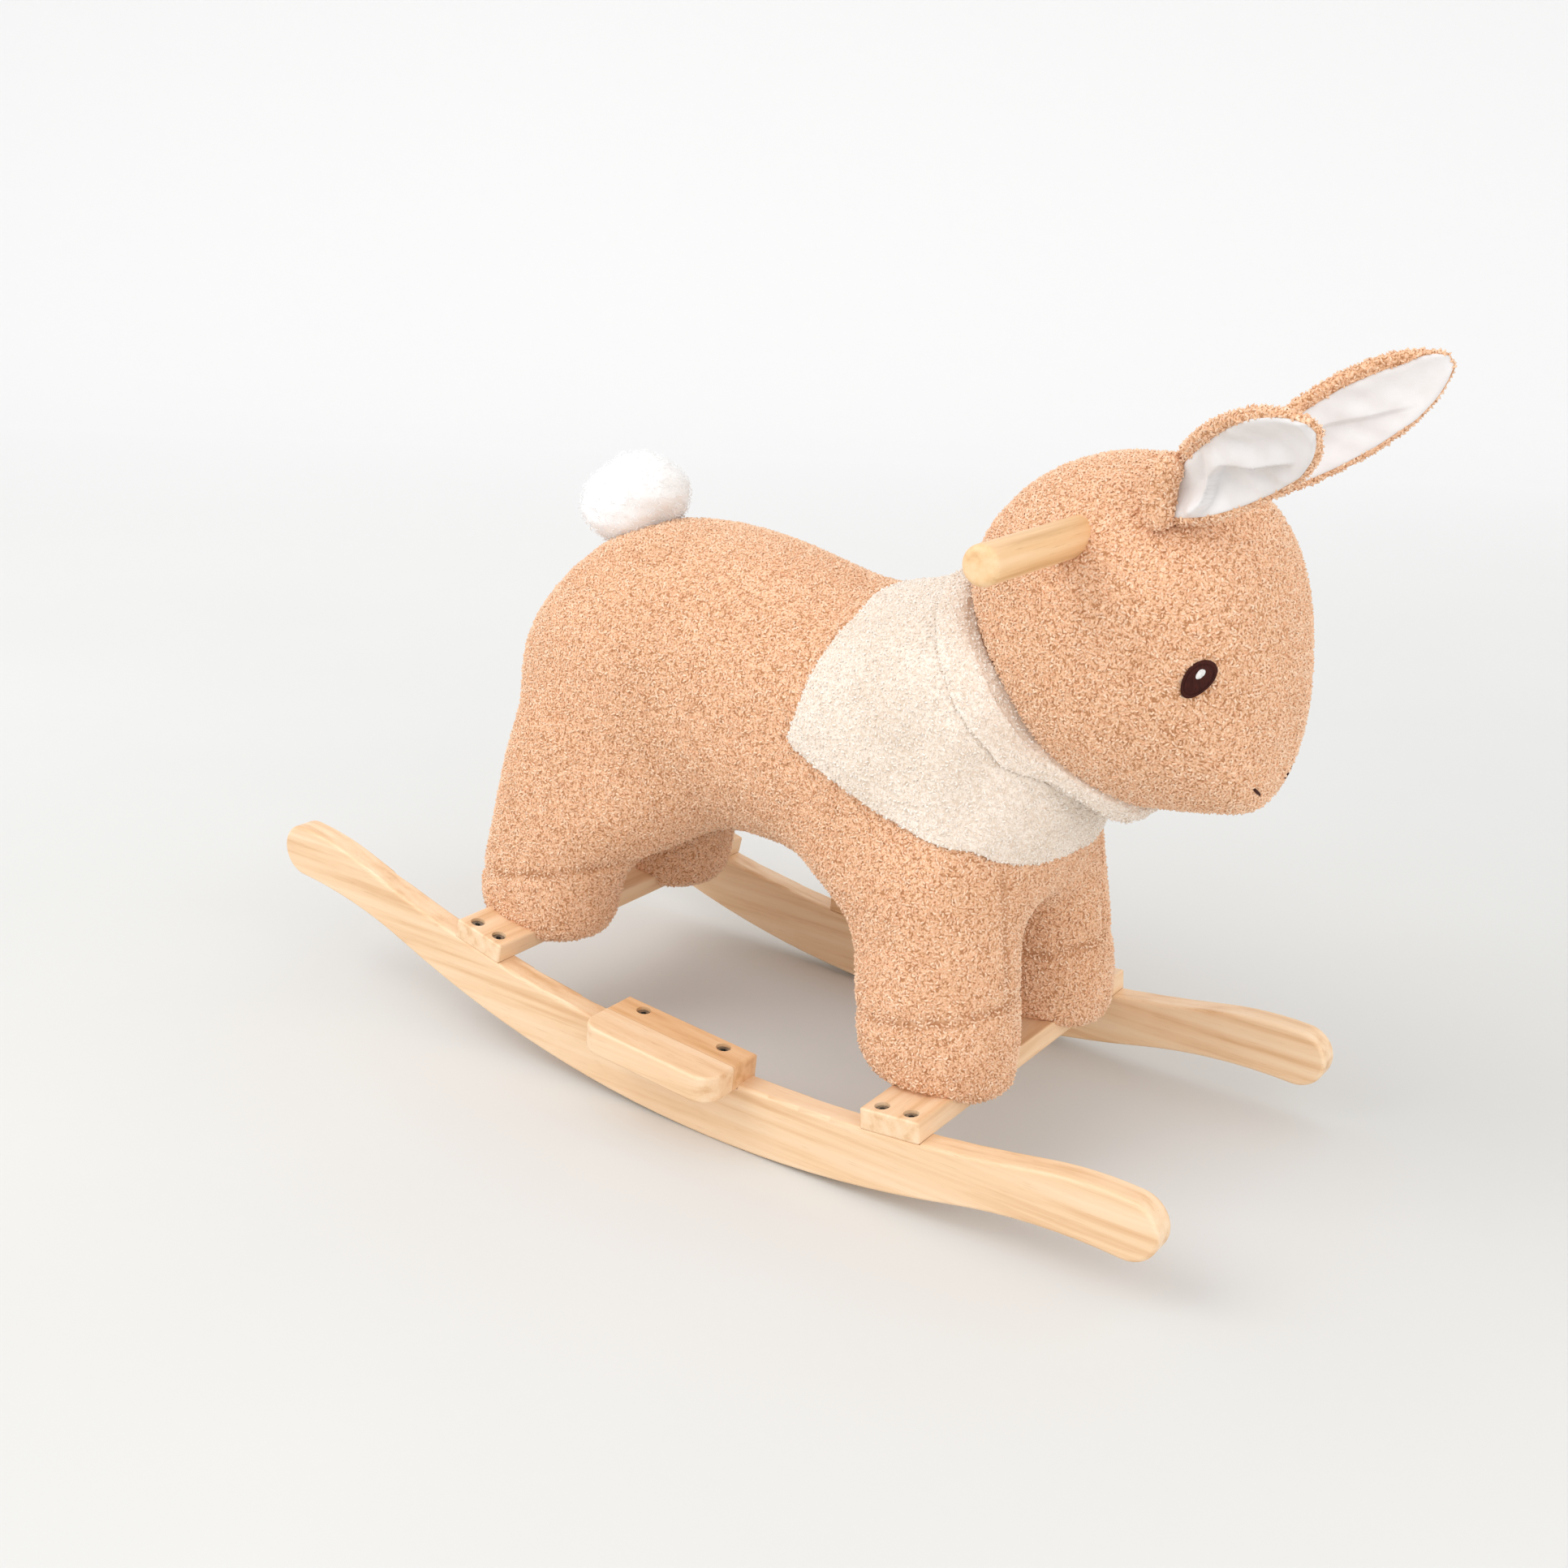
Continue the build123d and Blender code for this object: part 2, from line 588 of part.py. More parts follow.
def build():
    """All nodes in the level design frame."""
    body = body_form()
    head = head_form()
    pockets = frame_pockets()
    nodes = {"body": body - pockets}
    nodes["head"] = head - body_form(SOFT_GAP) - neck_board(SOFT_GAP) - handle_dowel(SOFT_GAP)
    bar_bores = {x: bores(bar_screw_places(x), WOOD_SCREW_LENGTH) for x in (FRONT_BAR_X, REAR_BAR_X)}
    rest_bores = bores(footrest_screw_places(), WOOD_SCREW_LENGTH)
    post_bores = bores(post_screw_places(), LONG_SCREW_LENGTH)
    seat_bores = bores(seat_screw_places(), WOOD_SCREW_LENGTH)
    neck_bores = bores(neck_screw_places(), LONG_SCREW_LENGTH)
    lock_bores = bores(lock_screw_places(), LOCK_SCREW_LENGTH)
    for side in SIDES:
        nodes[f"rocker_{side}"] = rocker(side) - bar_bores[FRONT_BAR_X] - bar_bores[REAR_BAR_X] - rest_bores
        nodes[f"footrest_{side}"] = footrest(side) - rest_bores
    for name, bar_x in (("front", FRONT_BAR_X), ("rear", REAR_BAR_X)):
        nodes[f"{name}_crossbar"] = crossbar(bar_x) - bar_bores[bar_x] - post_bores
        nodes[f"{name}_crossbar_screws"] = group(bar_screw_places(bar_x), WOOD_SCREW_LENGTH)
        rows = FRONT_LEG_FORM if name == "front" else REAR_LEG_FORM
        for side in SIDES:
            nodes[f"{name}_post_{side}"] = post(bar_x, side) - post_bores - seat_bores
            nodes[f"{name}_leg_{side}"] = leg(rows, bar_x, side)
    nodes["footrest_screws"] = group(footrest_screw_places(), WOOD_SCREW_LENGTH)
    nodes["post_screws"] = group(post_screw_places(), LONG_SCREW_LENGTH)
    nodes["seat_screws"] = group(seat_screw_places(), WOOD_SCREW_LENGTH)
    nodes["neck_screws"] = group(neck_screw_places(), LONG_SCREW_LENGTH)
    nodes["handle_lock_screw"] = group(lock_screw_places(), LOCK_SCREW_LENGTH)
    nodes["seat_board"] = seat_board() - seat_bores - neck_bores
    nodes["neck_board"] = neck_board() - neck_bores - lock_bores
    nodes["handle_dowel"] = handle_dowel() - lock_bores
    for side in SIDES:
        plane = ear_frame(side)
        nodes[f"ear_{side}"] = ear(plane)
        nodes[f"ear_lining_{side}"] = ear_lining(plane)
        nodes[f"eye_{side}"] = eye(side)
        nodes[f"eye_glint_{side}"] = eye_glint(side)
        print(f"ear_{side} turns about", plane.origin, "along", plane.x_dir)
    nodes["mouth"] = mouth()
    pompom = Pos(TAIL_X, 0, seat_z() + TAIL_RISE) * Sphere(TAIL_DIAMETER / 2)
    nodes["tail_pompom"] = pompom - body_form(SOFT_GAP)
    nodes["neckerchief"] = neckerchief()
    return nodes


def bores(places, length):
    """Screw bores at several places."""
    return [place * screw_bore(length) for place in places]


def group(places, length):
    """Identical screws at several places, as one node of separate solids."""
    return Compound([place * screw(length) for place in places])


def rest_place(nodes):
    """Location that leans the level toy to its rest and stands it on the floor, centred."""
    lean = Rot(0, REST_LEAN, 0)
    box = Compound([lean * shape for shape in nodes.values()]).bounding_box()
    return Pos(-box.center().X, -box.center().Y, -box.min.Z) * lean


def main():
    """Build every node, lay the toy to rest and write one STEP file per node."""
    os.makedirs("parts", exist_ok=True)
    nodes = build()
    place = rest_place(nodes)
    print("rest place", place)
    for name, shape in nodes.items():
        export_step(place * shape, f"parts/{name}.step")


main()
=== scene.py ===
"""Looks of a plush rabbit rocker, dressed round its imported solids.

The plush skins grow from the stuffed solids of the frame. The ears, neckerchief, pompom and embroidery are
sewn on as pieces of their own. The wooden parts keep their solids and get a grain. Lengths are in metres,
apart from the tables that say mm.
"""
import json
import logging
import math
from dataclasses import dataclass, field
from enum import Enum
from typing import Any, Sequence

import bmesh
import bpy
import numpy as np
from mathutils import Matrix, Vector
from mathutils.bvhtree import BVHTree


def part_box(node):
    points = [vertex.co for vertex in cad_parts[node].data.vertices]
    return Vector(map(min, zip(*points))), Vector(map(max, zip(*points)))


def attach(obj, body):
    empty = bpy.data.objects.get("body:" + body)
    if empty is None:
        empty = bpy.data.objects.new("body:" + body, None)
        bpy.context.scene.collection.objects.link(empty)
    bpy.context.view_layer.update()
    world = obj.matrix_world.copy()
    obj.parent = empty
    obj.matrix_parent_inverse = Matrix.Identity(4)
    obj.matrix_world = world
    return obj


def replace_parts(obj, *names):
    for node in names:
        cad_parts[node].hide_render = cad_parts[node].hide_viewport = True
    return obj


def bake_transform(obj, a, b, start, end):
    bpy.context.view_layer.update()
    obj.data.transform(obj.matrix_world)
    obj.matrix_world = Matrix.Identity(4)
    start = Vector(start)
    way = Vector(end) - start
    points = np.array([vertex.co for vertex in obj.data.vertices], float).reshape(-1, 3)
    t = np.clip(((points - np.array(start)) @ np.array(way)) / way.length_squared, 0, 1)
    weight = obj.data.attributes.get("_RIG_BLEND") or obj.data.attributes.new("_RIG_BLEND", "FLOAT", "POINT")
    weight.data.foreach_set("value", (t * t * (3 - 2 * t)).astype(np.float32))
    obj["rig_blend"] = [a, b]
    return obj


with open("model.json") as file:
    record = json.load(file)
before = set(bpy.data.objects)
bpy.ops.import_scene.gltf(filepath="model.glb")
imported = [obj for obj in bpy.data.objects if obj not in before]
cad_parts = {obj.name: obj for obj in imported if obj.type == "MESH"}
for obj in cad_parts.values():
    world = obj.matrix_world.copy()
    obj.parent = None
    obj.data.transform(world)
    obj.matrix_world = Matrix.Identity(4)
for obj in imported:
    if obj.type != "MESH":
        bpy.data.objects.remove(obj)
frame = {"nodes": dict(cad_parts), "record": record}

LOG = logging.getLogger("rocker")
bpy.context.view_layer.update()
FRAME_BODY = "rocker_frame"
SIDES = {"right": -1.0, "left": 1.0}
STUFFING_PRESSURE = 4.0
STUFFING_FRAMES = 20
COVER_REACH = 0.005
COVER_START = 0.001

Colour = tuple[float, float, float, float]
Triple = tuple[float, float, float]
Knots = tuple[tuple[float, float], ...]
Material = bpy.types.Material
Piece = bpy.types.Object
Socket = bpy.types.NodeSocket


def srgb(red: int, green: int, blue: int) -> Colour:
    """Linear colour of a swatch.

    Args:
        red: Red of the swatch, 0 to 255.
        green: Green of the swatch.
        blue: Blue of the swatch.

    Returns:
        The linear red, green, blue and an alpha of 1.
    """
    linear = []
    for part in (red, green, blue):
        share = part / 255
        linear.append(share / 12.92 if share <= 0.04045 else ((share + 0.055) / 1.055) ** 2.4)
    return (*linear, 1.0)


class Grain(Enum):
    """Which way the fibres of a wooden piece run."""

    LENGTHWISE = (0.0, 0.0, 0.0)
    CROSSWISE = (0.0, 0.0, math.pi / 2)
    UPRIGHT = (0.0, math.pi / 2, 0.0)


@dataclass(frozen=True)
class RestPlace:
    """Where the level toy stands in the frame: its nose-down turn and its shift."""

    turn: Matrix
    shift: Vector

    @classmethod
    def of_record(cls) -> "RestPlace":
        """Read the turn and the shift from the right footrest's upper face.

        Returns:
            The toy's place at rest.
        """
        level_footrest = Vector((0.018, -0.143, 0.0635))
        mount = next(m for m in frame["record"]["mounts"] if m["name"] == "footrest_top_right")
        lean = math.atan2(mount["axis"][0], mount["axis"][2])
        turn = Matrix.Rotation(lean, 3, "Y")
        return cls(turn, Vector(mount["pos_m"]) - turn @ level_footrest)

    def point(self, level: Sequence[float]) -> Vector:
        """A point of the level toy, in the frame."""
        return self.turn @ Vector(level) + self.shift

    def way(self, level: Sequence[float]) -> Vector:
        """A direction of the level toy, in the frame."""
        return (self.turn @ Vector(level)).normalized()


PLACE = RestPlace.of_record()
HEAD_MIDDLE = Vector((0.2195, 0.0, 0.3583))


class NodeWork:
    """A node tree that is put together one node at a time."""

    def __init__(self, tree: bpy.types.NodeTree) -> None:
        """Work on a tree.

        Args:
            tree: The shader or geometry tree.
        """
        self.tree = tree

    def add(self, kind: str, inputs: dict[Any, Any] | None = None, **settings: Any) -> bpy.types.Node:
        """Add a node.

        Args:
            kind: The node's type name.
            inputs: Values or sockets for its inputs, by name or number.
            settings: Properties of the node.

        Returns:
            The new node.
        """
        node = self.tree.nodes.new(kind)
        for name, value in settings.items():
            setattr(node, name, value)
        for key, value in (inputs or {}).items():
            self.feed(node.inputs[key], value)
        return node

    def value(self, kind: str, inputs: dict[Any, Any], output: int | str = 0, **settings: Any) -> Socket:
        """Add a node for one of its outputs.

        Args:
            kind: The node's type name.
            inputs: Values or sockets for its inputs, by name or number.
            output: Name or number of the output.
            settings: Properties of the node.

        Returns:
            The output.
        """
        return self.add(kind, inputs, **settings).outputs[output]

    def combine(self, operation: str, *values: Any) -> Socket:
        """Work values out into one.

        Args:
            operation: What the math node does with them.
            values: Numbers or sockets, in the node's order.

        Returns:
            The outcome.
        """
        return self.value("ShaderNodeMath", dict(enumerate(values)), operation=operation)

    def feed(self, socket: Socket, value: Any) -> None:
        """Link a socket to another, or set its value.

        Args:
            socket: The input to feed.
            value: Another socket, or a plain value.
        """
        if isinstance(value, Socket):
            self.tree.links.new(value, socket)
        else:
            socket.default_value = value


class ShaderWork(NodeWork):
    """The node tree of one material."""

    def __init__(self, name: str) -> None:
        """Start a material with a principled surface.

        Args:
            name: The material's name.
        """
        self.material = bpy.data.materials.new(name)
        self.material.use_nodes = True
        super().__init__(self.material.node_tree)
        self.surface = self.tree.nodes["Principled BSDF"]
        self.places = self.value("ShaderNodeTexCoord", {}, "Object")

    def finish(self, **values: Any) -> Material:
        """Feed the surface's sockets and return the material.

        Args:
            values: Socket values, with underscores for spaces.

        Returns:
            The finished material.
        """
        for name, value in values.items():
            words = name.replace("_", " ").title().replace("Ior", "IOR")
            self.feed(self.surface.inputs[words], value)
        return self.material

    def stretched(self, scale: Triple, turn: Triple = (0, 0, 0), shift: Triple = (0, 0, 0)) -> Socket:
        """Object coordinates, turned and then scaled along each axis."""
        turned = self.value("ShaderNodeMapping", {"Vector": self.places, "Rotation": turn, "Location": shift})
        return self.value("ShaderNodeMapping", {"Vector": turned, "Scale": scale})

    def noise(self, place: Socket, scale: float, detail: float = 2.0, distortion: float = 0.0) -> Socket:
        """A noise value over a place."""
        inputs = {"Vector": place, "Scale": scale, "Detail": detail, "Distortion": distortion}
        return self.value("ShaderNodeTexNoise", inputs, "Fac")

    def cells(self, place: Socket, scale: float) -> Socket:
        """Distance to the nearest of scattered points."""
        return self.value("ShaderNodeTexVoronoi", {"Vector": place, "Scale": scale}, "Distance")

    def sum(self, first: Socket, second: Any, share: float) -> Socket:
        """The first value plus a share of the second."""
        return self.combine("MULTIPLY_ADD", second, share, first)

    def ramp(self, value: Socket, stops: Sequence[tuple[float, Colour]]) -> Socket:
        """Colours along a value.

        Args:
            value: The place along the colours.
            stops: Places and the colours there.

        Returns:
            The colour.
        """
        node = self.add("ShaderNodeValToRGB", {"Fac": value})
        elements = node.color_ramp.elements
        while len(elements) < len(stops):
            elements.new(0.5)
        for element, (position, colour) in zip(elements, stops):
            element.position = position
            element.color = colour
        return node.outputs["Color"]

    def mix(self, share: Any, first: Any, second: Any, blend: str = "MIX") -> Socket:
        """Two colours mixed by a share."""
        inputs = {0: share, 6: first, 7: second}
        return self.value("ShaderNodeMix", inputs, 2, data_type="RGBA", blend_type=blend)

    def bump(self, height: Socket, depth: float, strength: float) -> Socket:
        """A bumped normal."""
        inputs = {"Height": height, "Distance": depth, "Strength": strength}
        return self.value("ShaderNodeBump", inputs, "Normal")


@dataclass(frozen=True)
class PileFinish:
    """Short pile: its ground colour, painted dark as crevice shade, its yarns from deep to pale and its
    curls' size.
    """

    name: str
    # Darker than the yarns: painted shade for the crevices between the curls and along the seams.
    ground: Colour
    yarns: tuple[Colour, ...]
    curl: float
    sheen: float = 0.3

    def skin(self) -> Material:
        """Material of the ground that the curls stand on, with painted shade in its crevices and along its
        seams.

        Returns:
            The material.
        """
        work = ShaderWork(self.name)
        curls = work.cells(work.places, 1 / self.curl)
        fibres = work.noise(work.places, 2.4 / self.curl, 3.0)
        cloud = work.noise(work.places, 14.0, 3.0)
        height = work.sum(fibres, curls, 0.4)
        deep, middle, pale = self.yarns[0], self.yarns[1], self.yarns[-1]
        # Painted shade: pale at the middle of each curl cell, darkening to the ground colour at the cell
        # edges, where the bump sinks the crevices.
        colour = work.ramp(height, ((0.48, pale), (0.60, middle), (0.70, deep), (0.84, self.ground)))
        # Painted shade: along the seam mask the skin darkens to the ground colour, as in the seam grooves.
        seam = work.value("ShaderNodeAttribute", {}, "Fac", attribute_name="seam")
        colour = work.mix(seam, colour, self.ground)
        shade = work.ramp(cloud, ((0.35, srgb(243, 240, 236)), (0.65, srgb(255, 255, 255))))
        normal = work.bump(height, -0.35 * self.curl, 0.6)
        return work.finish(base_color=work.mix(1.0, colour, shade, "MULTIPLY"), normal=normal, **self.nap())

    def yarn(self, number: int) -> Material:
        """Material of one of the pile's yarns, which pales here and there.

        Args:
            number: Which yarn, from deep to pale.

        Returns:
            The material.
        """
        work = ShaderWork(f"{self.name}_yarn_{number}")
        pale = work.noise(work.places, 160.0, 1.0)
        colour = work.ramp(pale, ((0.4, self.yarns[number]), (0.75, self.yarns[-1])))
        return work.finish(base_color=colour, **self.nap())

    def nap(self) -> dict[str, Any]:
        """How dull the pile is, and its sheen."""
        return {"roughness": 0.95, "specular_ior_level": 0.1, "sheen_weight": self.sheen,
                "sheen_roughness": 0.55, "sheen_tint": self.yarns[-1]}


@dataclass(frozen=True)
class WoodFinish:
    """Lacquered pale hardwood with pores and a soft figure."""

    name: str
    grain: Grain
    pale: Colour = srgb(244, 214, 179)
    middle: Colour = srgb(238, 202, 162)
    dark: Colour = srgb(222, 179, 134)
    shift: Triple = (0.0, 0.0, 0.0)
    stave: float | None = None
    stave_tint: Colour = srgb(246, 232, 216)
    glue_line: float = 0.0004
    fleck: Colour = srgb(188, 146, 98)
    ring_scale: Triple = (1.8, 9.0, 9.0)
    streak_scale: Triple = (5.0, 150.0, 150.0)
    pore_scale: Triple = (60.0, 1500.0, 1500.0)
    ring_count: float = 70.0
    ring_share: float = 0.014
    roughness: float = 0.42

    def material(self) -> Material:
        """Material with growth rings, streaks and pores along the grain.

        Returns:
            The material.
        """
        work = ShaderWork(self.name)
        turn = self.grain.value
        rings = work.noise(work.stretched(self.ring_scale, turn, self.shift), 1.6, 3.0, 1.2)
        lines = work.combine("SINE", work.combine("MULTIPLY", rings, self.ring_count))
        streaks = work.noise(work.stretched(self.streak_scale, turn, self.shift), 1.0, 4.0)
        figure = work.sum(streaks, lines, self.ring_share)
        colour = work.ramp(figure, ((0.30, self.dark), (0.47, self.middle), (0.68, self.pale)))
        if self.stave is not None:
            reach = work.combine("ABSOLUTE", work.value("ShaderNodeSeparateXYZ", {0: work.places}, "Y"))
            inner = work.combine("LESS_THAN", reach, self.stave)
            colour = work.mix(inner, colour, work.mix(1.0, colour, self.stave_tint, "MULTIPLY"))
            colour = work.mix(work.combine("COMPARE", reach, self.stave, self.glue_line), colour, self.dark)
        pores = work.noise(work.stretched(self.pore_scale, turn, self.shift), 1.0, 1.0)
        flecks = work.ramp(pores, ((0.0, self.fleck), (0.36, srgb(255, 255, 255))))
        colour = work.mix(0.7, colour, flecks, "MULTIPLY")
        return work.finish(base_color=colour, roughness=self.roughness, coat_weight=0.08, coat_roughness=0.35,
                           normal=work.bump(pores, 0.0002, 0.35))


@dataclass(frozen=True)
class VelourFinish:
    """Smooth short-napped cloth."""

    name: str = "white_velour"
    colour: Colour = srgb(232, 230, 230)
    shadow: Colour = srgb(224, 220, 219)

    def material(self) -> Material:
        """Material with a fine nap.

        Returns:
            The material.
        """
        work = ShaderWork(self.name)
        nap = work.noise(work.places, 1800.0, 2.0)
        folds = work.noise(work.places, 60.0, 2.0)
        share = work.ramp(folds, ((0.3, srgb(0, 0, 0)), (0.7, srgb(255, 255, 255))))
        colour = work.mix(share, self.shadow, self.colour)
        return work.finish(base_color=colour, roughness=0.9, specular_ior_level=0.15, sheen_weight=0.35,
                           sheen_roughness=0.4, normal=work.bump(nap, 0.0003, 0.35))


@dataclass(frozen=True)
class ThreadFinish:
    """Satin-stitched embroidery thread."""

    name: str
    colour: Colour

    def material(self) -> Material:
        """Glossy thread with a slight change of tone along it.

        Returns:
            The material.
        """
        work = ShaderWork(self.name)
        strands = work.noise(work.stretched((900.0, 900.0, 220.0)), 1.0, 2.0)
        dark = tuple(0.55 * part for part in self.colour[:3]) + (1.0,)
        return work.finish(base_color=work.ramp(strands, ((0.3, dark), (0.65, self.colour))), roughness=0.6,
                           specular_ior_level=0.15, normal=work.bump(strands, 0.0002, 0.3))


@dataclass(frozen=True)
class SteelFinish:
    """Zinc-plated screw steel."""

    name: str = "screw_steel"

    def material(self) -> Material:
        """Dull plated metal.

        Returns:
            The material.
        """
        work = ShaderWork(self.name)
        stain = work.noise(work.places, 700.0, 3.0)
        colour = work.ramp(stain, ((0.3, srgb(118, 116, 112)), (0.7, srgb(172, 170, 166))))
        return work.finish(base_color=colour, metallic=1.0, roughness=0.42)


# Each ground colour is darker than its yarns: painted shade for the crevices between the curls.
TAN_PLUSH = PileFinish(
    name="tan_plush", ground=srgb(188, 135, 96), curl=0.0027,
    yarns=(srgb(240, 192, 154), srgb(246, 202, 167), srgb(250, 209, 176), srgb(254, 220, 190)))
CREAM_TEDDY = PileFinish(
    name="cream_teddy", ground=srgb(230, 213, 196), curl=0.0026,
    yarns=(srgb(243, 229, 215), srgb(247, 235, 223), srgb(251, 242, 232)))
WHITE_FLEECE = PileFinish(
    name="white_fleece", ground=srgb(249, 250, 251), curl=0.0014, sheen=0.5,
    yarns=(srgb(251, 252, 254), srgb(253, 254, 255), srgb(255, 255, 255)))


def add_piece(name: str, points: Sequence[Sequence[float]], faces: Sequence[Sequence[int]]) -> Piece:
    """Add a mesh piece to the scene.

    Args:
        name: The piece's name.
        points: Its vertices in the frame.
        faces: Its faces, by vertex number.

    Returns:
        The new object, at the origin.
    """
    mesh = bpy.data.meshes.new(name)
    mesh.from_pydata([tuple(p) for p in points], [], faces)
    mesh.update()
    piece = bpy.data.objects.new(name, mesh)
    bpy.context.scene.collection.objects.link(piece)
    return piece


def bake_modifiers(piece: Piece) -> None:
    """Turn a piece's modifiers into its mesh.

    Args:
        piece: The piece to change.
    """
    graph = bpy.context.evaluated_depsgraph_get()
    made = bpy.data.meshes.new_from_object(piece.evaluated_get(graph))
    old = piece.data
    piece.modifiers.clear()
    piece.data = made
    bpy.data.meshes.remove(old)


def remesh(piece: Piece, voxel: float) -> None:
    """Remake a piece as one closed skin of even faces.

    Args:
        piece: The piece to change.
        voxel: Size of a face.
    """
    work = piece.modifiers.new("skin", "REMESH")
    work.mode = "VOXEL"
    work.voxel_size = voxel
    bake_modifiers(piece)


def subdivide(piece: Piece) -> None:
    """Subdivide a piece smoothly once, for good.

    Args:
        piece: The piece to change.
    """
    work = piece.modifiers.new("fine", "SUBSURF")
    work.levels = work.render_levels = 1
    bake_modifiers(piece)


def roughen(piece: Piece, grain: float, height: float) -> None:
    """Raise small lumps of pile on a piece.

    Args:
        piece: The piece to roughen.
        grain: Size of a lump.
        height: How far the lumps stand out.
    """
    pattern = bpy.data.textures.new(f"{piece.name}_lumps", "CLOUDS")
    pattern.noise_scale = grain
    pattern.noise_depth = 1
    work = piece.modifiers.new("lumps", "DISPLACE")
    work.texture = pattern
    work.texture_coords = "LOCAL"
    work.strength = height
    work.mid_level = 0.45
    bake_modifiers(piece)


def dress(piece: Piece, material: Material) -> None:
    """Give a piece its one material and smooth shading.

    Args:
        piece: The piece to dress.
        material: Its material.
    """
    piece.data.materials.clear()
    piece.data.materials.append(material)
    piece.data.polygons.foreach_set("use_smooth", [True] * len(piece.data.polygons))


def node_points(*nodes: str) -> np.ndarray:
    """Vertices of CAD nodes, thinned to about a millimetre.

    Args:
        nodes: Names of the nodes.

    Returns:
        The vertices in the frame, one to a row.
    """
    found = []
    for node in nodes:
        mesh = frame["nodes"][node].data
        flat = np.empty(len(mesh.vertices) * 3)
        mesh.vertices.foreach_get("co", flat)
        found.append(flat.reshape(-1, 3))
    return np.unique(np.round(np.concatenate(found), 3), axis=0)


def hull(name: str, points: np.ndarray) -> Piece:
    """Closed convex skin round points.

    Args:
        name: Name of the new piece.
        points: The points to wrap.

    Returns:
        The new piece.
    """
    form = bmesh.new()
    for point in points:
        form.verts.new(point)
    bmesh.ops.convex_hull(form, input=form.verts)
    bmesh.ops.delete(form, geom=[v for v in form.verts if not v.link_faces], context="VERTS")
    bmesh.ops.recalc_face_normals(form, faces=form.faces)
    piece = add_piece(name, [], [])
    form.to_mesh(piece.data)
    form.free()
    return piece


def join(piece: Piece, others: Sequence[Piece]) -> None:
    """Add other pieces' meshes to a piece, and remove them.

    Args:
        piece: The piece that takes them in.
        others: The pieces to add.
    """
    form = bmesh.new()
    for part in (piece, *others):
        form.from_mesh(part.data)
    form.to_mesh(piece.data)
    form.free()
    for part in others:
        bpy.data.objects.remove(part)


def face_outwards(piece: Piece) -> None:
    """Turn every face of a closed piece outwards.

    Args:
        piece: The piece to change.
    """
    form = bmesh.new()
    form.from_mesh(piece.data)
    bmesh.ops.recalc_face_normals(form, faces=form.faces)
    if form.calc_volume(signed=True) < 0:
        bmesh.ops.reverse_faces(form, faces=form.faces)
    form.to_mesh(piece.data)
    form.free()


def ring_skin(name: str, rings: np.ndarray, looped: bool = False) -> Piece:
    """Closed skin through rings of points.

    Args:
        name: Name of the new piece.
        rings: Points by ring and place round it.
        looped: Whether the last ring meets the first. If not, a face closes each end.

    Returns:
        The new piece, its faces outwards.
    """
    count, around = rings.shape[:2]
    faces: list[tuple[int, ...]] = []
    for row in range(count if looped else count - 1):
        low, high = row * around, (row + 1) % count * around
        for step in range(around):
            after = (step + 1) % around
            faces.append((low + step, low + after, high + after, high + step))
    if not looped:
        faces.append(tuple(range(around - 1, -1, -1)))
        faces.append(tuple(range((count - 1) * around, count * around)))
    piece = add_piece(name, rings.reshape(-1, 3), faces)
    face_outwards(piece)
    return piece


class Skin:
    """Point and edge arrays of a soft skin, for shaping it.

    EASE is the share of the way to its neighbours that a point goes in a round. While creases are filled,
    FILL is that share for a point in a crease, and HOLD for any other.
    """

    EASE = 0.5
    FILL = 0.7
    HOLD = 0.03

    def __init__(self, piece: Piece) -> None:
        """Read a piece's mesh.

        Args:
            piece: The piece to shape.
        """
        self.piece = piece
        mesh = piece.data
        self.points = np.empty(len(mesh.vertices) * 3)
        mesh.vertices.foreach_get("co", self.points)
        self.points = self.points.reshape(-1, 3)
        edges = np.empty(len(mesh.edges) * 2, np.int32)
        mesh.edges.foreach_get("vertices", edges)
        self.edges = edges.reshape(-1, 2)
        self.degree = np.bincount(edges, minlength=len(self.points))[:, None]

    def write(self) -> None:
        """Write the points back to the piece."""
        self.piece.data.vertices.foreach_set("co", self.points.ravel())
        self.piece.data.update()

    def normals(self) -> np.ndarray:
        """Outward directions at the points.

        Returns:
            A direction for each point.
        """
        self.write()
        flat = np.empty(len(self.points) * 3)
        self.piece.data.vertices.foreach_get("normal", flat)
        return flat.reshape(-1, 3)

    def pull(self) -> np.ndarray:
        """From each point to the mean of its neighbours.

        Returns:
            A step for each point.
        """
        first, second = self.edges.T
        count = len(self.points)
        total = np.empty_like(self.points)
        for axis in range(3):
            near = np.bincount(first, self.points[second, axis], count)
            total[:, axis] = near + np.bincount(second, self.points[first, axis], count)
        return total / self.degree - self.points

    def relax(self, rounds: int) -> None:
        """Even the skin out all over."""
        for _ in range(rounds):
            self.points += self.EASE * self.pull()

    def fill_creases(self, rounds: int) -> None:
        """Let the skin span the creases between joined forms, as sewn plush does.

        Args:
            rounds: How many times the points move.
        """
        for _ in range(rounds):
            pull = self.pull()
            hollow = np.einsum("ij,ij->i", pull, self.normals()) > 0
            self.points += np.where(hollow[:, None], self.FILL, self.HOLD) * pull

    def press(self, depth: np.ndarray) -> None:
        """Push the points in by a depth each."""
        self.points -= self.normals() * depth[:, None]


def moved_back(points: np.ndarray, goal: np.ndarray) -> np.ndarray:
    """Points drifted as a whole, turned and moved back onto the places they came from.

    Args:
        points: The drifted points.
        goal: Where each of them came from.

    Returns:
        The points, moved back.
    """
    middle = points.mean(axis=0)
    end = goal.mean(axis=0)
    left, _, right = np.linalg.svd((points - middle).T @ (goal - end))
    return (points - middle) @ left @ right + end


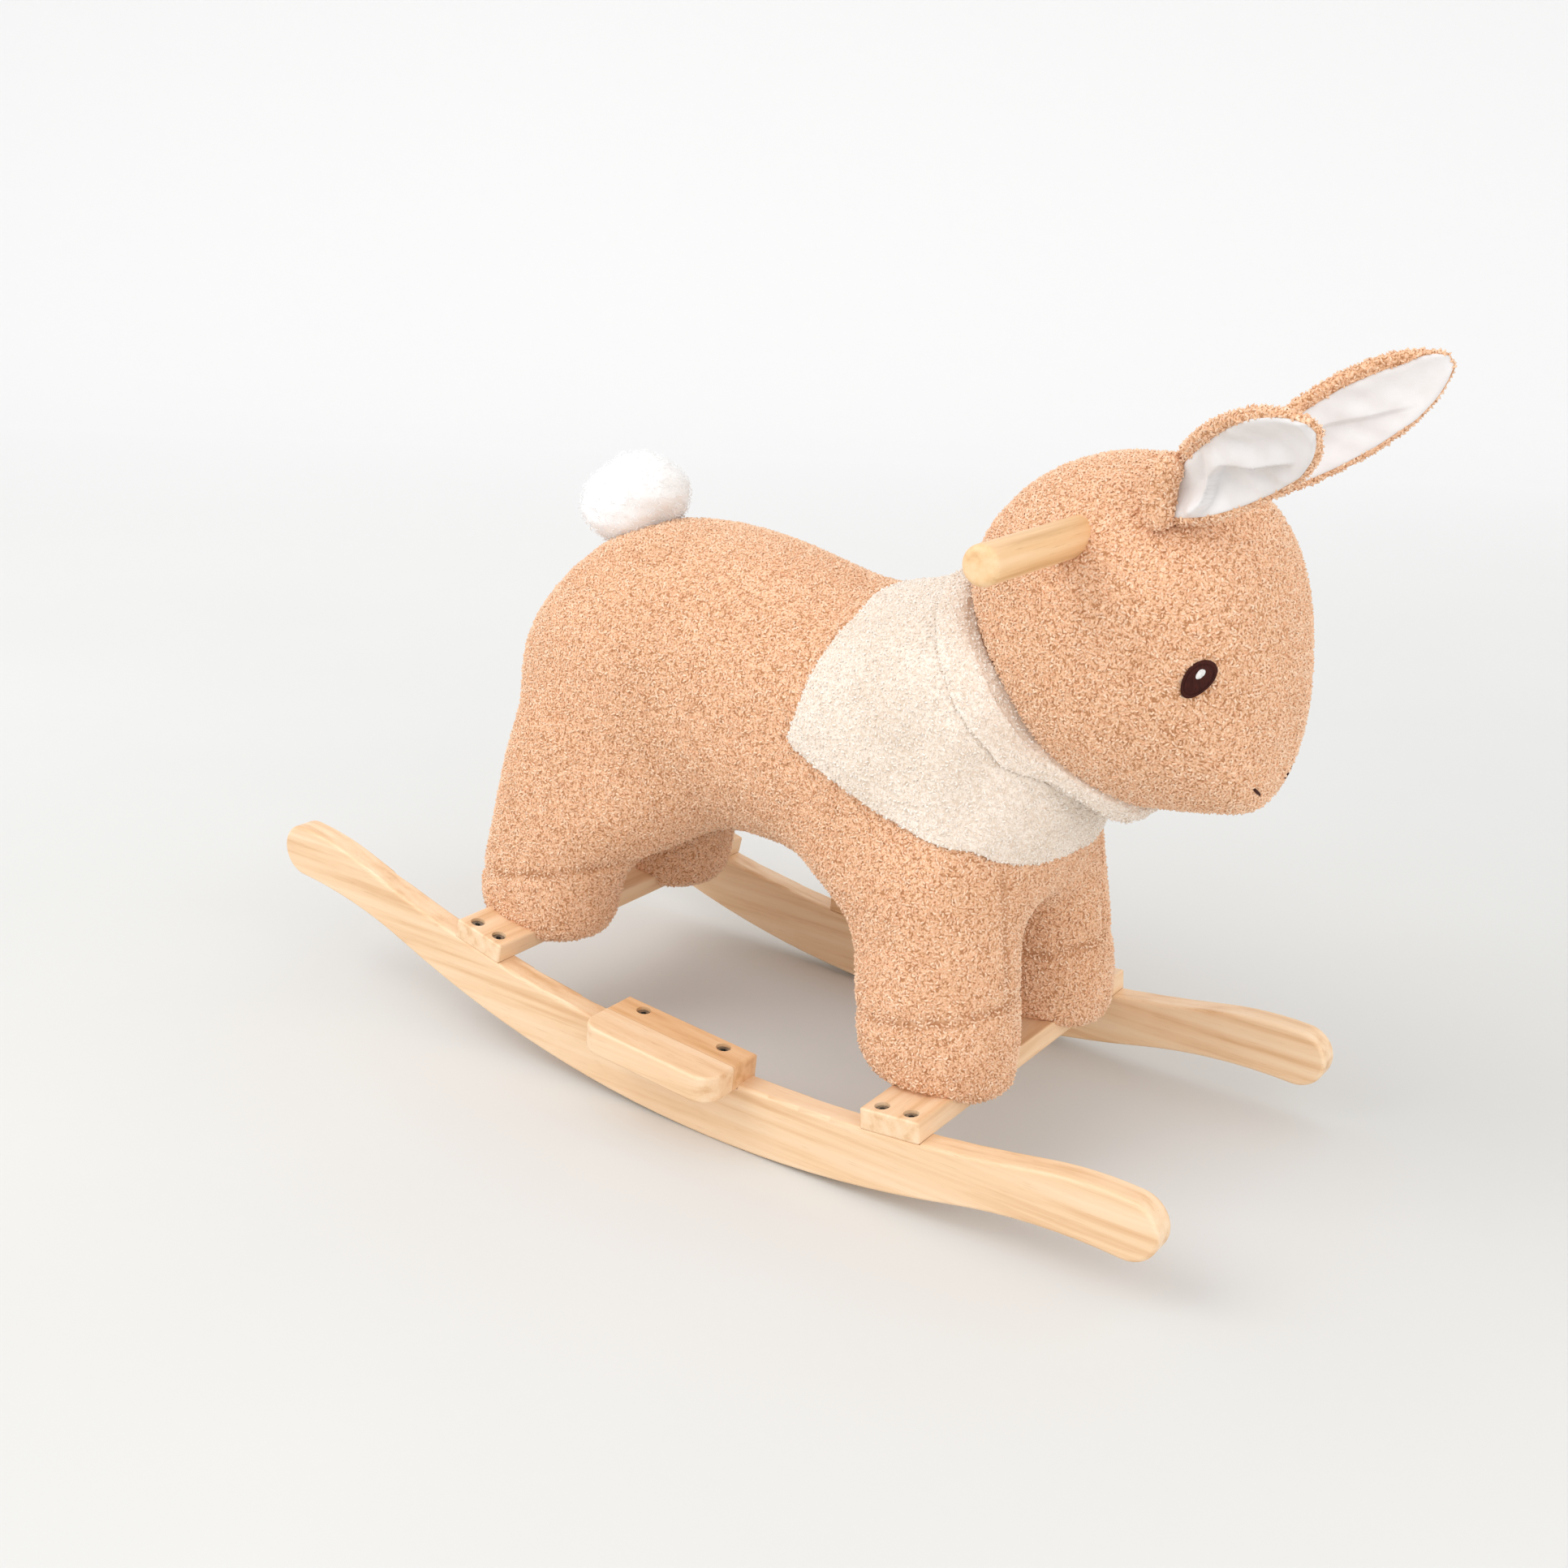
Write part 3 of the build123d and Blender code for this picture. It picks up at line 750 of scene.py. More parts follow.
def stuff(piece: Piece, free: np.ndarray, most: float = 0.002) -> None:
    """Fill a skin as cloth under pressure, so that its flats bulge and its ends pull in.

    Args:
        piece: The skin.
        free: 1 where a point may move freely and 0 where it stays.
        most: How far a point may end from its first place.
    """
    first = Skin(piece).points
    work = piece.modifiers.new("stuffing", "CLOTH")
    work.settings.use_pressure = True
    work.settings.uniform_pressure_force = STUFFING_PRESSURE
    work.settings.effector_weights.gravity = 0.0
    work.point_cache.frame_start = 1
    work.point_cache.frame_end = STUFFING_FRAMES
    scene = bpy.context.scene
    for number in range(1, STUFFING_FRAMES + 1):
        scene.frame_set(number)
    bake_modifiers(piece)
    scene.frame_set(1)
    skin = Skin(piece)
    shift = moved_back(skin.points, first) - first
    reach = np.linalg.norm(shift, axis=1)
    swell = 1000 * np.einsum("ij,ij->i", shift, skin.normals())
    LOG.info("%s swelled by %.1f mm, from %.1f to %.1f", piece.name, swell.mean(), swell.min(), swell.max())
    skin.points = first + shift * (free * np.minimum(1, most / np.maximum(reach, 1e-9)))[:, None]
    skin.relax(2)
    skin.write()


def near_plane(points: np.ndarray, place: Vector, way: Vector, width: float) -> np.ndarray:
    """1 on a plane through a place, fading to 0 over a width either side."""
    distance = (points - np.array(place)) @ np.array(way)
    return np.exp(-((distance / width) ** 2))


def fade(values: np.ndarray | float, start: float, end: float) -> np.ndarray | float:
    """0 before start, 1 after end, and smooth between."""
    share = np.clip((values - start) / (end - start), 0, 1)
    return share * share * (3 - 2 * share)


@dataclass
class PileTree:
    """Geometry tree that sets curls of yarn all over a skin, each at its own size between two shares."""

    name: str = "curled_pile"
    density: float = 400000.0
    least_size: float = 0.7
    most_size: float = 1.25
    tree: bpy.types.GeometryNodeTree = field(init=False)

    def __post_init__(self) -> None:
        """Build the tree with its named inputs."""
        self.tree = bpy.data.node_groups.new(self.name, "GeometryNodeTree")
        inputs = {
            "Geometry": ("Skin",),
            "Float": ("Spacing", "Curl", "Yarn", "Sweep", "Tilt"),
            "Int": ("Seed", "Tone", "Tones"),
            "Material": ("Yarn Material",),
        }
        for kind, names in inputs.items():
            for name in names:
                self.tree.interface.new_socket(name, in_out="INPUT", socket_type=f"NodeSocket{kind}")
        self.tree.interface.new_socket("Pile", in_out="OUTPUT", socket_type="NodeSocketGeometry")
        work = NodeWork(self.tree)
        given = work.add("NodeGroupInput").outputs
        seed = {"Seed": given["Seed"]}
        spacing = {"Distance Min": given["Spacing"], "Density Max": self.density}
        spots = work.add("GeometryNodeDistributePointsOnFaces", {"Mesh": given["Skin"], **spacing, **seed},
                         distribute_method="POISSON")
        minus = work.combine("MULTIPLY", given["Tilt"], -1.0)
        least = work.value("ShaderNodeCombineXYZ", {0: minus, 1: minus, 2: -math.pi})
        most = work.value("ShaderNodeCombineXYZ", {0: given["Tilt"], 1: given["Tilt"], 2: math.pi})
        chance = work.value("FunctionNodeRandomValue", {"Min": least, "Max": most, **seed},
                            data_type="FLOAT_VECTOR")
        spin = work.value("FunctionNodeEulerToRotation", {0: chance})
        stand = work.value("FunctionNodeRotateRotation",
                           {"Rotation": spots.outputs["Rotation"], "Rotate By": spin}, rotation_space="LOCAL")
        size = work.value("FunctionNodeRandomValue", {2: self.least_size, 3: self.most_size, **seed}, 1,
                          data_type="FLOAT")
        yarn = work.value("FunctionNodeRandomValue", {4: 0, 5: given["Tones"], **seed}, 2, data_type="INT")
        mine = work.value("FunctionNodeCompare", {2: yarn, 3: given["Tone"]},
                          data_type="INT", operation="EQUAL")
        copies = work.value("GeometryNodeInstanceOnPoints", {
            "Points": spots.outputs[0], "Instance": self.curl(work, given), "Selection": mine,
            "Rotation": stand, "Scale": size})
        real = work.value("GeometryNodeRealizeInstances", {0: copies})
        coloured = work.value("GeometryNodeSetMaterial",
                              {"Geometry": real, "Material": given["Yarn Material"]})
        work.add("NodeGroupOutput", {0: coloured})

    @staticmethod
    def curl(work: NodeWork, given: bpy.types.NodeOutputs) -> Socket:
        """One upright curl of yarn.

        Args:
            work: The tree's nodes.
            given: The tree's inputs.

        Returns:
            The curl's mesh.
        """
        loop = work.value("GeometryNodeCurveArc",
                          {"Resolution": 3, "Radius": given["Curl"], "Sweep Angle": given["Sweep"]})
        thread = work.value("GeometryNodeCurvePrimitiveCircle", {"Resolution": 3, "Radius": given["Yarn"]})
        tube = work.value("GeometryNodeCurveToMesh",
                          {"Curve": loop, "Profile Curve": thread, "Fill Caps": True})
        smooth = work.value("GeometryNodeSetShadeSmooth", {0: tube})
        return work.value("GeometryNodeTransform", {"Geometry": smooth, "Rotation": (math.pi / 2, 0, 0)})

    def grow(self, name: str, ground: bpy.types.Mesh, values: dict[str, Any]) -> Piece:
        """Grow one yarn of a pile.

        Args:
            name: Name of the new piece.
            ground: The mesh that the curls stand on.
            values: The tree's inputs by name.

        Returns:
            The curls as a plain mesh piece.
        """
        piece = bpy.data.objects.new(name, ground.copy())
        bpy.context.scene.collection.objects.link(piece)
        work = piece.modifiers.new("pile", "NODES")
        work.node_group = self.tree
        for item in self.tree.interface.items_tree:
            if item.in_out == "INPUT" and item.name in values:
                work[item.identifier] = values[item.name]
        bake_modifiers(piece)
        return piece


@dataclass(frozen=True)
class Pile:
    """Curls of one finish: their spacing and size, how far round they bend and how far they lean."""

    finish: PileFinish
    spacing: float
    curl: float
    yarn: float
    sweep: float = 3.6
    tilt: float = 0.6

    def grow(self, tree: PileTree, skin: Piece, seed: int, covers: Sequence[BVHTree] = (),
             reach: float = COVER_REACH) -> list[Piece]:
        """Grow every yarn on a skin, where nothing lies on it.

        Args:
            tree: The curls' geometry tree.
            skin: The piece that they stand on.
            seed: Fixed seed of the scatter.
            covers: Surfaces that lie on the skin.
            reach: How near a cover has to be.

        Returns:
            One piece for each yarn.
        """
        grown = []
        ground = open_ground(skin, covers, reach)
        count = len(self.finish.yarns)
        for number in range(count):
            values = {"Spacing": self.spacing, "Curl": self.curl, "Yarn": self.yarn, "Sweep": self.sweep,
                      "Tilt": self.tilt, "Seed": seed, "Tone": number, "Tones": count - 1,
                      "Yarn Material": self.finish.yarn(number)}
            grown.append(tree.grow(f"{skin.name}_curls_{number + 1}", ground, values))
        bpy.data.meshes.remove(ground)
        return grown


TAN_PILE = Pile(TAN_PLUSH, spacing=0.0019, curl=0.00097, yarn=0.00068)
CREAM_PILE = Pile(CREAM_TEDDY, spacing=0.0020, curl=0.0008, yarn=0.00072)
WHITE_PILE = Pile(WHITE_FLEECE, spacing=0.0019, curl=0.0022, yarn=0.00022, sweep=1.4, tilt=1.0)


def surface_of(*pieces: Piece) -> BVHTree:
    """Pieces as one surface that rays can be cast at.

    Args:
        pieces: The pieces, at the origin.

    Returns:
        Their surface.
    """
    points: list[Vector] = []
    faces: list[list[int]] = []
    for piece in pieces:
        start = len(points)
        points += [v.co.copy() for v in piece.data.vertices]
        faces += [[start + i for i in face.vertices] for face in piece.data.polygons]
    return BVHTree.FromPolygons(points, faces)


def open_ground(piece: Piece, covers: Sequence[BVHTree], reach: float) -> bpy.types.Mesh:
    """Mesh of a skin without the faces that lie under a cover.

    Args:
        piece: The skin.
        covers: Surfaces that may lie on it.
        reach: How near a cover has to be.

    Returns:
        The part of the mesh where pile stands.
    """
    form = bmesh.new()
    form.from_mesh(piece.data)
    hidden = []
    for face in form.faces:
        place = face.calc_center_median() - face.normal * COVER_START
        if any(cover.ray_cast(place, face.normal, reach)[0] is not None for cover in covers):
            hidden.append(face)
    bmesh.ops.delete(form, geom=hidden, context="FACES")
    ground = bpy.data.meshes.new(f"{piece.name}_ground")
    form.to_mesh(ground)
    form.free()
    return ground


@dataclass
class PlushAnimal:
    """The stuffed trunk, legs and head, as two taut skins."""

    voxel: float = 0.005
    chest_edge: Triple = (0.20, 0.0, 0.176)
    paw_seam_rise: float = 0.054
    paw_seam_way: Triple = (-0.28, 0.0, 1.0)
    seam_width: float = 0.0022
    seam_depth: float = 0.0026
    # Where the seam up a front leg fades: ahead of the leg's middle, at the paw's seam and under its top.
    seam_ahead: float = 0.020
    seam_foot: tuple[float, float] = (0.002, 0.004)
    seam_top: tuple[float, float] = (0.050, 0.020)
    leg_reach: float = 0.075
    leg_fade: float = 0.012
    front_web_rise: float = 0.090
    rear_web_rise: float = 0.050
    web_reach: float = 0.066
    web_lap: float = 0.020
    belly_height: float = 0.045
    pile_height: float = 0.0018
    flat_pile: float = 0.004
    full_pile: float = 0.020
    head_cover_reach: float = 0.0036
    trunk: Piece = field(init=False)
    head: Piece = field(init=False)

    def build(self) -> None:
        """Make both skins, with their seams."""
        self.trunk = self.trunk_skin()
        self.head = hull("plush_head", node_points("head"))
        remesh(self.head, self.voxel)
        skin = Skin(self.head)
        skin.relax(10)
        skin.press(np.full(len(skin.points), self.pile_height))
        skin.write()
        stuff(self.head, np.ones(len(skin.points)))

    def trunk_skin(self) -> Piece:
        """Trunk and legs as one skin, its creases spanned and its seams drawn in.

        Returns:
            The skin.
        """
        trunk = hull("plush_trunk", node_points("body"))
        remesh(trunk, self.voxel)
        wrap = trunk.modifiers.new("shape", "SHRINKWRAP")
        wrap.target = frame["nodes"]["body"]
        wrap.wrap_method = "NEAREST_SURFACEPOINT"
        bake_modifiers(trunk)
        legs = [hull(name, node_points(name)) for name in self.leg_nodes()]
        webs = [self.web(Skin(trunk).points, name) for name in self.leg_nodes()]
        join(trunk, [*legs, *webs, self.chest()])
        remesh(trunk, self.voxel)
        skin = Skin(trunk)
        skin.relax(6)
        skin.fill_creases(80)
        skin.relax(10)
        skin.press(self.pile_height * self.off_the_bars(skin.points))
        skin.write()
        stuff(trunk, self.off_the_bars(skin.points))
        skin = Skin(trunk)
        seams = np.zeros(len(skin.points))
        for node in self.leg_nodes():
            seams = np.maximum(seams, self.leg_seams(skin.points, node))
        skin.press(self.seam_depth * seams)
        skin.write()
        # The seam mask goes to the skin's material too, which darkens the seams as painted shade.
        marks = trunk.data.attributes.new("seam", "FLOAT", "POINT")
        marks.data.foreach_set("value", seams.astype(np.float32))
        return trunk

    def web(self, trunk: np.ndarray, node: str) -> Piece:
        """Plush that spans the corner between a leg and the belly.

        Args:
            trunk: The trunk's points.
            node: The leg's node.

        Returns:
            A closed wedge in the corner.
        """
        low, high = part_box(node)
        rear = node.startswith("rear")
        rise = self.rear_web_rise if rear else self.front_web_rise
        away = trunk[:, 0] - high.x if rear else low.x - trunk[:, 0]
        belly = (away > -self.web_lap) & (away < self.web_reach)
        belly &= trunk[:, 2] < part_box("body")[0].z + self.belly_height
        belly &= (trunk[:, 1] > low.y) & (trunk[:, 1] < high.y)
        leg = node_points(node)
        return hull(f"{node}_web", np.concatenate([trunk[belly], leg[leg[:, 2] > low.z + rise]]))

    def chest(self) -> Piece:
        """Plush that spans the gap between the front legs, above its lower edge.

        Returns:
            A closed form.
        """
        legs = node_points(*(f"front_leg_{side}" for side in SIDES))
        height = (legs - np.array(PLACE.point(self.chest_edge))) @ np.array(PLACE.way((0, 0, 1)))
        return hull("chest", legs[height > 0])

    def off_the_bars(self, points: np.ndarray) -> np.ndarray:
        """0 under the feet, where the pile is pressed flat, and 1 elsewhere.

        Args:
            points: The trunk's points.

        Returns:
            A share for each point.
        """
        floor = np.zeros(len(points))
        for node in self.leg_nodes():
            low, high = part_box(node)
            inside = np.all((points[:, :2] > low.xy) & (points[:, :2] < high.xy), axis=1)
            floor = np.where(inside, low.z, floor)
        return fade(points[:, 2] - floor, self.flat_pile, self.full_pile)

    @staticmethod
    def leg_nodes() -> list[str]:
        """Names of the four legs' nodes."""
        return [f"{end}_leg_{side}" for end in ("front", "rear") for side in SIDES]

    def leg_seams(self, points: np.ndarray, node: str) -> np.ndarray:
        """The seam round a paw, and the one up the front of a front leg.

        Args:
            points: The trunk's points.
            node: The leg's node.

        Returns:
            1 at each point on a seam, fading to 0 beside it.
        """
        low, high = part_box(node)
        middle = (low + high) / 2
        foot = Vector((middle.x, middle.y, low.z))
        reach = np.linalg.norm(points[:, :2] - np.array(middle)[:2], axis=1)
        own = 1 - fade(reach, self.leg_reach, self.leg_reach + self.leg_fade)
        paw = foot + PLACE.way((0, 0, 1)) * self.paw_seam_rise
        seams = near_plane(points, paw, PLACE.way(self.paw_seam_way), self.seam_width) * own
        if node.startswith("front"):
            line = near_plane(points, middle, Vector((0, 1, 0)), self.seam_width)
            ahead = fade(points[:, 0], middle.x, middle.x + self.seam_ahead)
            start = low.z + self.paw_seam_rise
            above = fade(points[:, 2], start - self.seam_foot[0], start + self.seam_foot[1])
            below = 1 - fade(points[:, 2], high.z - self.seam_top[0], high.z - self.seam_top[1])
            seams = np.maximum(seams, line * own * ahead * above * below)
        return seams

    def finish(self, tree: PileTree, covers: Sequence[BVHTree]) -> None:
        """Give both skins their pile and seat them on the frame.

        Args:
            tree: The curls' geometry tree.
            covers: Surfaces that lie on the skins.
        """
        material = TAN_PLUSH.skin()
        skins = (
            (self.trunk, ["body", *self.leg_nodes()], 3, COVER_REACH),
            (self.head, ["head"], 5, self.head_cover_reach),
        )
        for piece, nodes, seed, reach in skins:
            subdivide(piece)
            roughen(piece, grain=0.004, height=0.0012)
            dress(piece, material)
            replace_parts(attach(piece, FRAME_BODY), *nodes)
            for curls in TAN_PILE.grow(tree, piece, seed, covers, reach):
                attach(curls, FRAME_BODY)


@dataclass(frozen=True)
class EarPose:
    """How an ear hangs on the level toy: along its leaf, the way its lining faces, and its twist at the root.

    The fold is the height of the crease in the lining, and the upper rim starts to narrow at its fade.
    The roll is the folded plush at the root: places across, out of the lining and along the leaf, and a
    radius, in mm.
    """

    along: Triple
    facing: Triple
    twist: float
    fold: float
    rim_fade: float
    roll: tuple[tuple[float, float, float, float], ...]


@dataclass
class Ear:
    """One leaf-shaped ear: a plush shell with a rolled rim, and a velour lining in its hollow."""

    side: str
    pose: EarPose
    length: float = 0.118
    width: float = 0.050
    thickness: float = 0.0075
    cup: float = 0.009
    crown: float = 0.002
    least_flat: float = 0.0006
    # The hollow's power at the root, what is added towards the tip, and where along the leaf.
    hollow_power: tuple[float, float] = (1.4, 0.6)
    hollow_span: tuple[float, float] = (0.05, 0.5)
    twist_shift: tuple[float, float] = (0.002, 0.0035)
    blend_reach: tuple[float, float] = (0.008, 0.010)
    upper_rim: float = 0.0080
    lower_rim: float = 0.0036
    # How much each rim narrows towards the tip, and by which share along the leaf.
    upper_narrowing: float = 0.75
    upper_narrow_end: float = 0.97
    lower_narrowing: float = 0.5
    lower_narrow_span: tuple[float, float] = (0.5, 0.9)
    # The lining's ends, and the stretch between them where it is fully lofted, as shares along the leaf.
    lining_ends: tuple[float, float] = (-0.085, 0.990)
    lining_full: tuple[float, float] = (-0.04, 0.95)
    lining_half: float = 0.0016
    lining_sheet: float = 0.0009
    lining_loft: float = 0.0022
    lining_sink: float = 0.0006
    fold_step: float = 0.0010
    fold_width: float = 0.015
    fold_starts: tuple[float, float] = (0.0, 0.1)
    fold_stops: tuple[float, float] = (0.55, 0.8)
    wave_height: float = 0.0007
    wave_middle: float = 0.5
    wave_reach: float = 0.22
    # Share along the leaf, and where the lining's fold runs across it.
    fold_line: Knots = (
        (0.0, -0.020), (0.16, -0.012), (0.26, 0.000), (0.36, 0.003), (0.55, -0.005), (0.75, -0.012))
    # Share along the leaf, then its width, thickness, cup and twist there as shares of their own sizes.
    rows: tuple[tuple[float, float, float, float, float], ...] = (
        (-0.10, 0.62, 1.0, 0.30, 1.0), (0.00, 0.74, 1.0, 0.70, 0.85), (0.12, 0.86, 1.0, 1.0, 0.55),
        (0.32, 0.97, 1.0, 1.1, 0.15), (0.52, 1.0, 1.0, 1.0, 0.0), (0.73, 0.87, 0.95, 0.75, 0.0),
        (0.86, 0.64, 0.75, 0.5, 0.0), (0.94, 0.42, 0.6, 0.30, 0.0), (0.985, 0.24, 0.5, 0.12, 0.0),
        (1.0, 0.10, 0.4, 0.03, 0.0),
    )

    def ways(self) -> tuple[np.ndarray, np.ndarray, np.ndarray, np.ndarray]:
        """Root, and the ways across, out of the lining and along the leaf.

        Returns:
            The four in that order, in the frame.
        """
        joint = next(j for j in frame["record"]["behaviour"]["joints"] if j["child"] == f"ear_{self.side}")
        along = PLACE.way(self.pose.along)
        facing = PLACE.way(self.pose.facing)
        facing = (facing - along * facing.dot(along)).normalized()
        return np.array(joint["pos_m"]), np.array(facing.cross(along)), np.array(facing), np.array(along)

    def shares(self, share: np.ndarray) -> np.ndarray:
        """Width, thickness, cup and twist along the leaf, smoothly.

        Args:
            share: Places along the leaf, 0 at its root and 1 at its tip.

        Returns:
            A row of the four for each place.
        """
        knots = np.array(self.rows)
        fine = np.linspace(knots[0, 0], knots[-1, 0], 240)
        most, width = 12, 5.0
        spread = np.exp(-0.5 * (np.arange(-most, most + 1) / width) ** 2)
        spread /= spread.sum()
        columns = []
        for column in range(1, 5):
            line = np.pad(np.interp(fine, knots[:, 0], knots[:, column]), most, "edge")
            columns.append(np.interp(share, fine, np.convolve(line, spread, "valid")))
        return np.stack(columns, axis=1)

    def hollow(self, across: np.ndarray, half: float, depth: float, place: float) -> np.ndarray:
        """Depth of the leaf's hollow over a section, sharper towards the root."""
        power = self.hollow_power[0] + self.hollow_power[1] * fade(place, *self.hollow_span)
        return depth * (1 - np.abs(across / half) ** power)

    def section(self, place: float, twist: float, flat: np.ndarray) -> np.ndarray:
        """Points of a section, set in the frame.

        Args:
            place: Share along the leaf.
            twist: Share of the twist there.
            flat: The section's points across the leaf and out of its lining.

        Returns:
            The points in the frame.
        """
        root, cross, facing, along = self.ways()
        angle = self.pose.twist * twist
        wide = cross * math.cos(angle) + facing * math.sin(angle)
        out = facing * math.cos(angle) - cross * math.sin(angle)
        shift = (cross * self.twist_shift[0] + facing * self.twist_shift[1]) * abs(angle)
        middle = root + along * (place * self.length) + shift
        return middle + np.outer(flat[:, 0], wide) + np.outer(flat[:, 1], out)

    def shell(self) -> Piece:
        """Closed plush leaf with a round rim.

        Returns:
            The new piece.
        """
        places = np.concatenate([np.linspace(-0.10, 0.9, 46), np.linspace(0.91, 1.0, 10)])
        turn = np.linspace(0, math.pi, 9)[1:-1]
        rings = []
        for place, (wide, thick, cupped, twist) in zip(places, self.shares(places)):
            half = self.width * wide / 2
            thickness = self.thickness * thick / 2
            inner = np.linspace(1, -1, 21) * max(half - thickness, self.least_flat)
            front = thickness - self.hollow(inner, half, self.cup * cupped, place)
            back = -thickness - self.hollow(inner, half, (self.cup + self.crown) * cupped, place)
            edge = (front[0] + back[0]) / 2
            bulge = (front[0] - back[0]) / 2
            far = np.stack([inner[-1] - thickness * np.sin(turn), edge + bulge * np.cos(turn)], axis=1)
            near = np.stack([inner[0] + thickness * np.sin(turn), edge - bulge * np.cos(turn)], axis=1)
            faces = (np.stack([inner, front], axis=1), far, np.stack([inner, back], axis=1)[::-1], near)
            rings.append(self.section(place, twist, np.concatenate(faces)))
        return ring_skin(f"ear_{self.side}_plush", np.array(rings))

    def base(self) -> Piece:
        """Folded plush that wraps the end of the lining at the root.

        Returns:
            The new piece.
        """
        root, cross, facing, along = self.ways()
        knots = np.array(self.pose.roll) / 1000
        share = np.linspace(0, len(knots) - 1, 25)
        columns = [np.interp(share, range(len(knots)), knots[:, column]) for column in range(4)]
        line = np.stack(columns, axis=1)
        for _ in range(10):
            line[1:-1] = (line[:-2] + 2 * line[1:-1] + line[2:]) / 4
        middle = root + np.outer(line[:, 0], cross) + np.outer(line[:, 1], facing)
        middle = middle + np.outer(line[:, 2], along)
        ahead = np.gradient(middle, axis=0)
        ahead /= np.linalg.norm(ahead, axis=1)[:, None]
        wide = np.cross(ahead, along)
        wide /= np.linalg.norm(wide, axis=1)[:, None]
        out = np.cross(ahead, wide)
        round_end = np.sqrt(np.clip(1 - np.linspace(-1, 1, len(line)) ** 8, 0.02, 1))
        turns = np.linspace(0, 2 * math.pi, 20, endpoint=False)
        rings = []
        for place, across, up, radius in zip(middle, wide, out, line[:, 3] * round_end):
            rings.append(place + radius * (np.outer(np.cos(turns), across) + np.outer(np.sin(turns), up)))
        return ring_skin(f"ear_{self.side}_base", np.array(rings))

    def lining(self) -> Piece:
        """White lining: a thin sheet in the hollow, tucked under the rim and folded at the root.

        Returns:
            The new piece.
        """
        root, tip = self.lining_ends
        places = np.linspace(root, tip, 76)
        inside = 1 - np.abs(np.linspace(-1, 1, 45)) ** 8
        lines = np.array(self.fold_line)
        rings = []
        for place, (wide, thick, cupped, twist) in zip(places, self.shares(places)):
            half = self.width * wide / 2
            narrow = self.upper_narrowing * fade(place, self.pose.rim_fade, self.upper_narrow_end)
            upper = half - self.upper_rim * (1 - narrow)
            narrow = self.lower_narrowing * fade(place, *self.lower_narrow_span)
            lower = half - self.lower_rim * (1 - narrow)
            x = np.linspace(-max(lower, self.lining_half), max(upper, self.lining_half), 45)
            ground = self.thickness * thick / 2 - self.hollow(x, half, self.cup * cupped, place)
            full = fade(place, root, self.lining_full[0]) * (1 - fade(place, self.lining_full[1], tip))
            line = np.interp(place, lines[:, 0], lines[:, 1])
            step = fade(x, line - self.fold_step, line + self.fold_step)
            fold = self.pose.fold * step * (1 - fade(x, line + self.fold_step, line + self.fold_width))
            crease = fade(place, *self.fold_starts) * (1 - fade(place, *self.fold_stops))
            rippled = math.exp(-(((place - self.wave_middle) / self.wave_reach) ** 2))
            waves = self.wave_height * np.sin(260 * x + 40 * place) * rippled
            height = ground - self.lining_sink + (self.lining_loft * full + fold * crease + waves) * inside
            top = np.stack([x, height + self.lining_sheet], axis=1)
            under = np.stack([x, height], axis=1)[::-1]
            rings.append(self.section(place, twist, np.concatenate([top, under])))
        return ring_skin(f"ear_{self.side}_velour", np.array(rings))

    def build(self, tree: PileTree) -> Piece:
        """Make the ear and let it bend at its root.

        Args:
            tree: The curls' geometry tree.

        Returns:
            The plush shell.
        """
        root, _, _, along = self.ways()
        body = f"ear_{self.side}"
        shell = self.shell()
        join(shell, [self.base()])
        subdivide(shell)
        roughen(shell, grain=0.004, height=0.0010)
        dress(shell, TAN_PLUSH.skin())
        lining = self.lining()
        dress(lining, VelourFinish().material())
        curls = TAN_PILE.grow(tree, shell, seed=11, covers=[surface_of(lining)])
        start = root - along * self.blend_reach[0]
        end = root + along * self.blend_reach[1]
        for piece in (shell, *curls):
            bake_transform(piece, FRAME_BODY, body, start, end)
        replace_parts(shell, body)
        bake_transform(lining, FRAME_BODY, body, start, end)
        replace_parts(lining, f"ear_lining_{self.side}")
        return shell


EAR_POSES = {
    "right": EarPose(
        along=(0.675, -0.54, 0.445), facing=(-0.15, -0.80, -0.60), twist=-0.80, fold=0.0072, rim_fade=0.25,
        roll=((17, -4, 8, 7.5), (12, 4, -3, 8.5), (4, 11, -10, 9.0), (-3, 16, -11, 8.5), (-8, 18, -9, 7.0))),
    "left": EarPose(
        along=(0.655, 0.439, 0.605), facing=(0.50, -0.83, 0.05), twist=0.0, fold=0.003, rim_fade=0.75,
        roll=((16, -2, 0, 6.0), (8, 0, -5, 7.0), (0, 1, -7, 7.0), (-8, 0, -5, 7.0), (-15, -2, 0, 6.0))),
}


